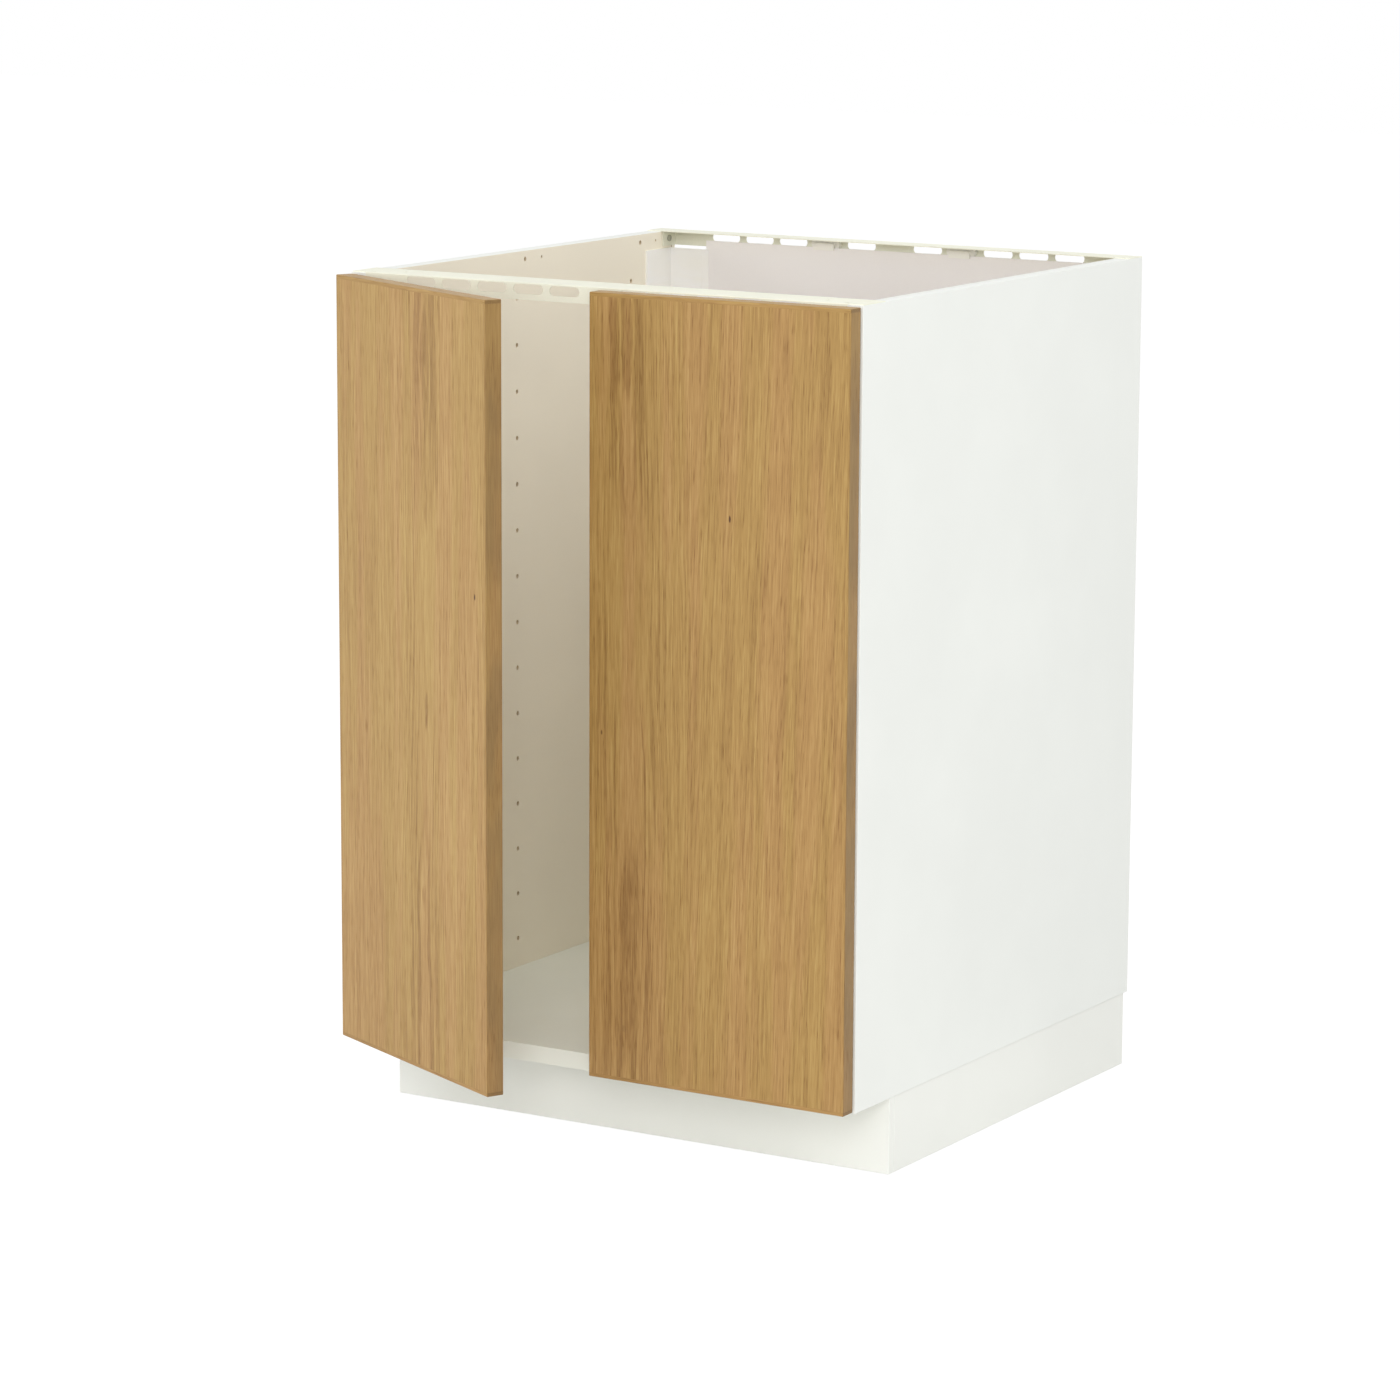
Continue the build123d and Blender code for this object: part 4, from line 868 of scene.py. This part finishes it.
# ------------------------------------------------------------------ mesh surfaces
@dataclass(frozen=True)
class Grid:
    """Surface worked out on a grid of points, rows by columns, closed round its columns."""

    name: str
    points: np.ndarray

    def build(self) -> bpy.types.Object:
        """Put the grid into a mesh, with one pole vertex at each end row.

        Each quad joins (i, j), (i, j+1), (i+1, j+1) and (i+1, j), with columns taken modulo their
        number.
        The first and the last row are single points, so their quads become triangles.

        Returns:
            The object, linked to the scene, with smooth faces.
        """
        rows, columns, _ = self.points.shape
        inner = self.points[1:-1].reshape(-1, 3)
        poles = self.points[[0, -1], 0]
        here = np.arange(columns)
        there = (here + 1) % columns
        start = (np.arange(rows - 3) * columns)[:, None]
        quads = np.stack(
            [start + here, start + there, start + columns + there, start + columns + here], axis=-1
        ).reshape(-1, 4)
        low, high = len(inner), len(inner) + 1
        last = (rows - 3) * columns
        bottom = np.stack([np.full(columns, low), there, here], axis=-1)
        top = np.stack([np.full(columns, high), last + here, last + there], axis=-1)
        mesh = bpy.data.meshes.new(self.name)
        faces = quads.tolist() + bottom.tolist() + top.tolist()
        mesh.from_pydata(np.vstack([inner, poles]).tolist(), [], faces)
        mesh.polygons.foreach_set("use_smooth", np.ones(len(faces), bool))
        mesh.update()
        made = bpy.data.objects.new(self.name, mesh)
        bpy.context.scene.collection.objects.link(made)
        return made


# ------------------------------------------------------------------ sub-assemblies
@dataclass
class SubAssembly:
    """Part of the cabinet: the frame it is dressed from, and the finish of each of its nodes."""

    nodes: dict[str, bpy.types.Object]
    finishes: dict[str, tuple[str, ...]] = field(default_factory=dict)

    def dress(self, palette: dict[str, bpy.types.Material]) -> None:
        """Give every node of this sub-assembly its finish.

        Args:
            palette: Materials by slot name.
        """
        for slot, names in self.finishes.items():
            for name in names:
                coat(self.nodes[name], palette[slot])
                LOG.info("%s: %s", name, slot)


def coat(piece: bpy.types.Object, material: bpy.types.Material) -> None:
    """Make a material the only one of a piece.

    Args:
        piece: Object with a mesh.
        material: Its new material.
    """
    slots = piece.data.materials
    if len(slots) == 0:
        slots.append(material)
    for index in range(len(slots)):
        slots[index] = material


def both(stem: str) -> tuple[str, str]:
    """Left and right node names of a stem."""
    return f"{stem}_left", f"{stem}_right"


@dataclass
class Carcass(SubAssembly):
    """White boards with their hidden joints, the back sheet and its corner strips."""

    finishes: dict[str, tuple[str, ...]] = field(
        default_factory=lambda: {
            "side_board": both("side_panel"),
            "floor_board": ("bottom_panel",),
            "back_board": ("back_panel",),
            "strip_plastic": both("back_strip"),
            "screw_steel": ("back_panel_nails", "cam_bolts"),
            "beech": ("frame_dowels",),
            "zinc": ("cam_locks",),
        }
    )


@dataclass
class Rails(SubAssembly):
    """Slotted rails across the open top, with their screws and the clips of the back sheet."""

    finishes: dict[str, tuple[str, ...]] = field(
        default_factory=lambda: {
            "rail_steel": ("front_rail", "rear_rail"),
            "clip_plastic": ("back_panel_clips",),
            "screw_steel": ("rail_screws",),
        }
    )


@dataclass
class Plinth(SubAssembly):
    """Plinth boards and the spring clips that hold them to the legs."""

    finishes: dict[str, tuple[str, ...]] = field(
        default_factory=lambda: {
            "plinth_board": ("plinth_front", *both("plinth_side")),
            "leg_plastic": ("plinth_clips",),
        }
    )


@dataclass
class Legs(SubAssembly):
    """Leg sockets and levelling feet, each foot turned with a ribbed grip and a thread."""

    finishes: dict[str, tuple[str, ...]] = field(
        default_factory=lambda: {"leg_plastic": ("leg_sockets",), "screw_steel": ("leg_screws",)}
    )
    places: dict[str, tuple[float, float]] = field(
        default_factory=lambda: {
            "front_left": (-0.248, -0.1763),
            "front_right": (0.248, -0.1763),
            "rear_left": (-0.248, 0.240),
            "rear_right": (0.248, 0.240),
        }
    )
    pad: float = 0.0220
    pad_height: float = 0.0080
    grip: float = 0.0148
    grip_top: float = 0.0120
    lobes: int = 14
    stem: float = 0.00985
    stem_top: float = 0.0550
    pitch: float = 0.0030
    thread: float = 0.0007
    thread_rows: int = 9
    run_out: float = 0.0015
    crest: float = 1.5
    flank: float = 5.0
    rib: float = 0.0009
    columns: int = 84

    def _profile(self) -> tuple[np.ndarray, np.ndarray, np.ndarray, np.ndarray]:
        """Radius and height along the foot's outline, and how far its ribs and its thread reach.

        Returns:
            Four arrays of one length: radius, height, share of the ribs, share of the thread.
        """
        pad, rim, grip = self.pad, self.pad_height, self.grip
        outline = [
            (0.0, 0.0012, 0, 0),
            (0.0150, 0.0012, 0, 0),
            (0.0168, 0.0004, 0, 0),
            (0.0176, 0.0, 0, 0),
            (pad - 0.0012, 0.0, 0, 0),
            (pad - 0.0003, 0.0004, 0, 0),
            (pad, 0.0014, 0, 0),
            (pad, rim - 0.0030, 0, 0),
            (pad - 0.0004, rim - 0.0016, 0, 0),
            (pad - 0.0016, rim - 0.0006, 0, 0),
            (grip + 0.0022, rim, 0, 0),
            (grip + 0.0006, rim + 0.0002, 0, 0),
            (grip, rim + 0.0008, 1, 0),
            (grip, self.grip_top - 0.0007, 1, 0),
            (grip - 0.0007, self.grip_top, 1, 0),
            (self.stem + 0.0008, self.grip_top, 0, 0),
            (self.stem, self.grip_top + 0.0006, 0, 0),
        ]
        start, end = self.grip_top + self.run_out, self.stem_top - self.run_out
        rows = int((end - start) / self.pitch * self.thread_rows)
        heights = np.linspace(start, end, rows)
        ease = np.clip(np.minimum(heights - start, end - heights) / self.pitch, 0.0, 1.0)
        stem, no_ribs = np.full_like(heights, self.stem), np.zeros_like(heights)
        turns = np.stack([stem, heights, no_ribs, ease], axis=1)
        tip = [(self.stem, self.stem_top - 0.0008, 0, 0), (self.stem - 0.0008, self.stem_top, 0, 0)]
        table = np.vstack([outline, turns, tip, [(0.0, self.stem_top, 0, 0)]])
        return table[:, 0], table[:, 1], table[:, 2], table[:, 3]

    def _foot(self, corner: str, place: tuple[float, float]) -> bpy.types.Object:
        """One foot as a surface of revolution that its ribs and its thread modulate.

        The radius at angle a and height h is
        r - rib * ribs * (1 - |sin(lobes a / 2)|) - thread * share * w(h / pitch - a / 2pi),
        where w is a trapezium wave from 0 to 1, by its crest and flank.

        Args:
            corner: Which foot it is.
            place: Its axis in the plan.

        Returns:
            The foot's object.
        """
        radius, height, ribs, thread = (values[:, None] for values in self._profile())
        angle = np.linspace(0.0, 2.0 * math.pi, self.columns, endpoint=False)[None, :]
        flute = ribs * self.rib * (1.0 - np.abs(np.sin(self.lobes * angle / 2.0)))
        phase = np.mod(height / self.pitch - angle / (2.0 * math.pi), 1.0)
        wave = np.clip(self.crest - np.abs(phase - 0.5) * self.flank, 0.0, 1.0)
        reach = radius - flute - wave * thread * self.thread
        x, y = place[0] + reach * np.cos(angle), place[1] + reach * np.sin(angle)
        points = np.stack([x, y, np.broadcast_to(height, x.shape)], axis=-1)
        return Grid(f"levelling_foot_{corner}_turned", points).build()

    def build(self, palette: dict[str, bpy.types.Material]) -> None:
        """Make the four feet in place of their plain solids.

        Args:
            palette: Materials by slot name.
        """
        for corner, place in self.places.items():
            foot = self._foot(corner, place)
            coat(foot, palette["leg_plastic"])
            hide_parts(f"levelling_foot_{corner}")
            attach(foot, f"foot_{corner}")
            LOG.info("%s: %d faces", foot.name, len(foot.data.polygons))


@dataclass
class Doors(SubAssembly):
    """The two doors, each in its own oak, with their bumpers."""

    finishes: dict[str, tuple[str, ...]] = field(
        default_factory=lambda: {
            "oak_veneer_left": ("door_left_panel",),
            "oak_edging_left": ("door_left_edging",),
            "oak_veneer_right": ("door_right_panel",),
            "oak_edging_right": ("door_right_edging",),
            "bumper_clear": both("door_bumpers"),
        }
    )


@dataclass
class Hinges(SubAssembly):
    """Concealed hinges: plates, arms, links, cups and their small fasteners."""

    finishes: dict[str, tuple[str, ...]] = field(
        default_factory=lambda: {
            "hinge_steel": (
                *both("hinge_plates"),
                *both("hinge_arms"),
                *both("outer_links"),
                *both("inner_links"),
                *both("hinge_cups"),
            ),
            "screw_steel": (
                *both("hinge_plate_screws"),
                *both("hinge_arm_screws"),
                *both("cup_screws"),
            ),
            "pin_steel": (*both("arm_pins"), *both("cup_pins")),
        }
    )


# ------------------------------------------------------------------ studio
@dataclass(frozen=True)
class Softbox:
    """Large soft lamp: where it hangs, its size in metres and its power in watts."""

    name: str
    place: Triple
    size: float
    power: float


@dataclass(frozen=True)
class Studio:
    """Camera, floor and lights, in metres and radians, with lens and sensor in millimetres."""

    eye: Triple = (2.6373761, -4.4404402, 1.3726623)
    heading: float = -0.5465
    pitch: float = -0.1826
    roll: float = 0.0047
    lens: float = 127.81
    sensor: float = 36.0
    farthest: float = 60.0
    target: Triple = (0.0, -0.05, 0.42)
    dome: float = 0.63
    floor_half: float = 14.0
    floor_level: float = -0.0005
    floor_grey: float = 0.90
    shadow_grey: float = 0.22
    floor_white: float = 0.88
    boxes: tuple[Softbox, ...] = (
        Softbox("softbox_left", (-3.6, -3.4, 1.5), 2.4, 48.0),
        Softbox("softbox_fill", (2.4, -4.8, 2.0), 2.2, 87.0),
        Softbox("softbox_top", (0.0, 0.0, 3.8), 2.4, 18.0),
        Softbox("softbox_right", (2.3, -0.3, 2.2), 1.4, 11.5),
    )

    def camera(self) -> None:
        """Aim the camera by heading about +Z, pitch and roll, with the fitted focal length."""
        flat, lift = math.cos(self.pitch), math.sin(self.pitch)
        ahead = Vector((math.sin(self.heading) * flat, math.cos(self.heading) * flat, lift))
        level = Vector((math.cos(self.heading), -math.sin(self.heading), 0.0))
        upright = level.cross(ahead)
        right = level * math.cos(self.roll) + upright * math.sin(self.roll)
        up = upright * math.cos(self.roll) - level * math.sin(self.roll)
        data = bpy.data.cameras.new("camera")
        data.sensor_width = self.sensor
        data.lens = self.lens
        data.clip_end = self.farthest
        made = bpy.data.objects.new("camera", data)
        turned = Matrix((right, up, -ahead)).transposed().to_4x4()
        made.matrix_world = Matrix.Translation(self.eye) @ turned
        bpy.context.scene.collection.objects.link(made)
        bpy.context.scene.camera = made

    @staticmethod
    def _seen(book: ShaderBook) -> Signal:
        """1 for what the camera, mirrors and glass see, and 0 for what lights the object."""
        path = book.node("ShaderNodeLightPath", output="Is Camera Ray")
        outputs = path.socket.node.outputs
        seen = book.math("MAXIMUM", path, Signal(book, outputs["Is Glossy Ray"]))
        return book.math("MAXIMUM", seen, Signal(book, outputs["Is Transmission Ray"]))

    def floor(self) -> None:
        """Plain pale floor: white where it lies open, with a faint shadow under the cabinet."""
        book = ShaderBook.of_material("studio_floor")
        lit, shadow = (
            book.node("ShaderNodeBsdfDiffuse", sockets={"Color": (grey, grey, grey, 1.0)})
            for grey in (self.floor_grey, self.shadow_grey)
        )
        light = {"Color": WHITE, "Strength": self.floor_white}
        glow = book.node("ShaderNodeEmission", sockets=light)
        shown = book.node("ShaderNodeAddShader", sockets={0: shadow, 1: glow})
        mixed = book.node("ShaderNodeMixShader", sockets={0: self._seen(book), 1: lit, 2: shown})
        book.surface(mixed)
        turns = ((-1, -1), (1, -1), (1, 1), (-1, 1))
        half, level = self.floor_half, self.floor_level
        corners = [(x * half, y * half, level) for x, y in turns]
        mesh = bpy.data.meshes.new("studio_floor")
        mesh.from_pydata(corners, [], [(0, 1, 2, 3)])
        mesh.materials.append(book.owner)
        made = bpy.data.objects.new("studio_floor", mesh)
        bpy.context.scene.collection.objects.link(made)

    def sky(self) -> None:
        """Even dome: plain white to the camera, softer for the light that falls on the object."""
        world = bpy.data.worlds.new("studio_dome")
        book = ShaderBook(world)
        lit = book.node("ShaderNodeBackground", sockets={"Color": WHITE, "Strength": self.dome})
        shown = book.node("ShaderNodeBackground", sockets={"Color": WHITE, "Strength": 1.0})
        mixed = book.node("ShaderNodeMixShader", sockets={0: self._seen(book), 1: lit, 2: shown})
        book.surface(mixed, "ShaderNodeOutputWorld")
        bpy.context.scene.world = world

    def lamps(self) -> None:
        """Hang the softboxes, each turned towards the middle of the cabinet."""
        for box in self.boxes:
            data = bpy.data.lights.new(box.name, "AREA")
            data.shape = "SQUARE"
            data.size = box.size
            data.energy = box.power
            made = bpy.data.objects.new(box.name, data)
            made.location = box.place
            aim = Vector(self.target) - Vector(box.place)
            made.rotation_mode = "QUATERNION"
            made.rotation_quaternion = aim.to_track_quat("-Z", "Y")
            bpy.context.scene.collection.objects.link(made)

    def build(self) -> None:
        """Set up everything that isn't part of the object."""
        self.camera()
        self.floor()
        self.sky()
        self.lamps()
        bpy.context.scene.view_settings.view_transform = "Standard"


def make_palette() -> dict[str, bpy.types.Material]:
    """Make every finish once.

    Returns:
        Materials by slot name; the oak slots have one material for each door.
    """
    palette = {finish.name.lower(): finish.value.make(finish.name.lower()) for finish in Finish}
    for side, oak in (("left", LEFT_OAK), ("right", RIGHT_OAK)):
        palette[f"oak_veneer_{side}"] = oak.face(f"oak_veneer_{side}")
        palette[f"oak_edging_{side}"] = oak.strips(f"oak_edging_{side}")
    return palette


def main() -> None:
    """Load the frame, dress each sub-assembly, add the detail pieces and set up the studio."""
    logging.basicConfig(level=logging.INFO, format="%(name)s %(message)s")
    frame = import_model()
    nodes = frame["nodes"]
    palette = make_palette()
    legs = Legs(nodes)
    for part in (Carcass(nodes), Rails(nodes), Plinth(nodes), legs, Doors(nodes), Hinges(nodes)):
        part.dress(palette)
    legs.build(palette)
    Studio().build()


if __name__ == "__main__":
    main()
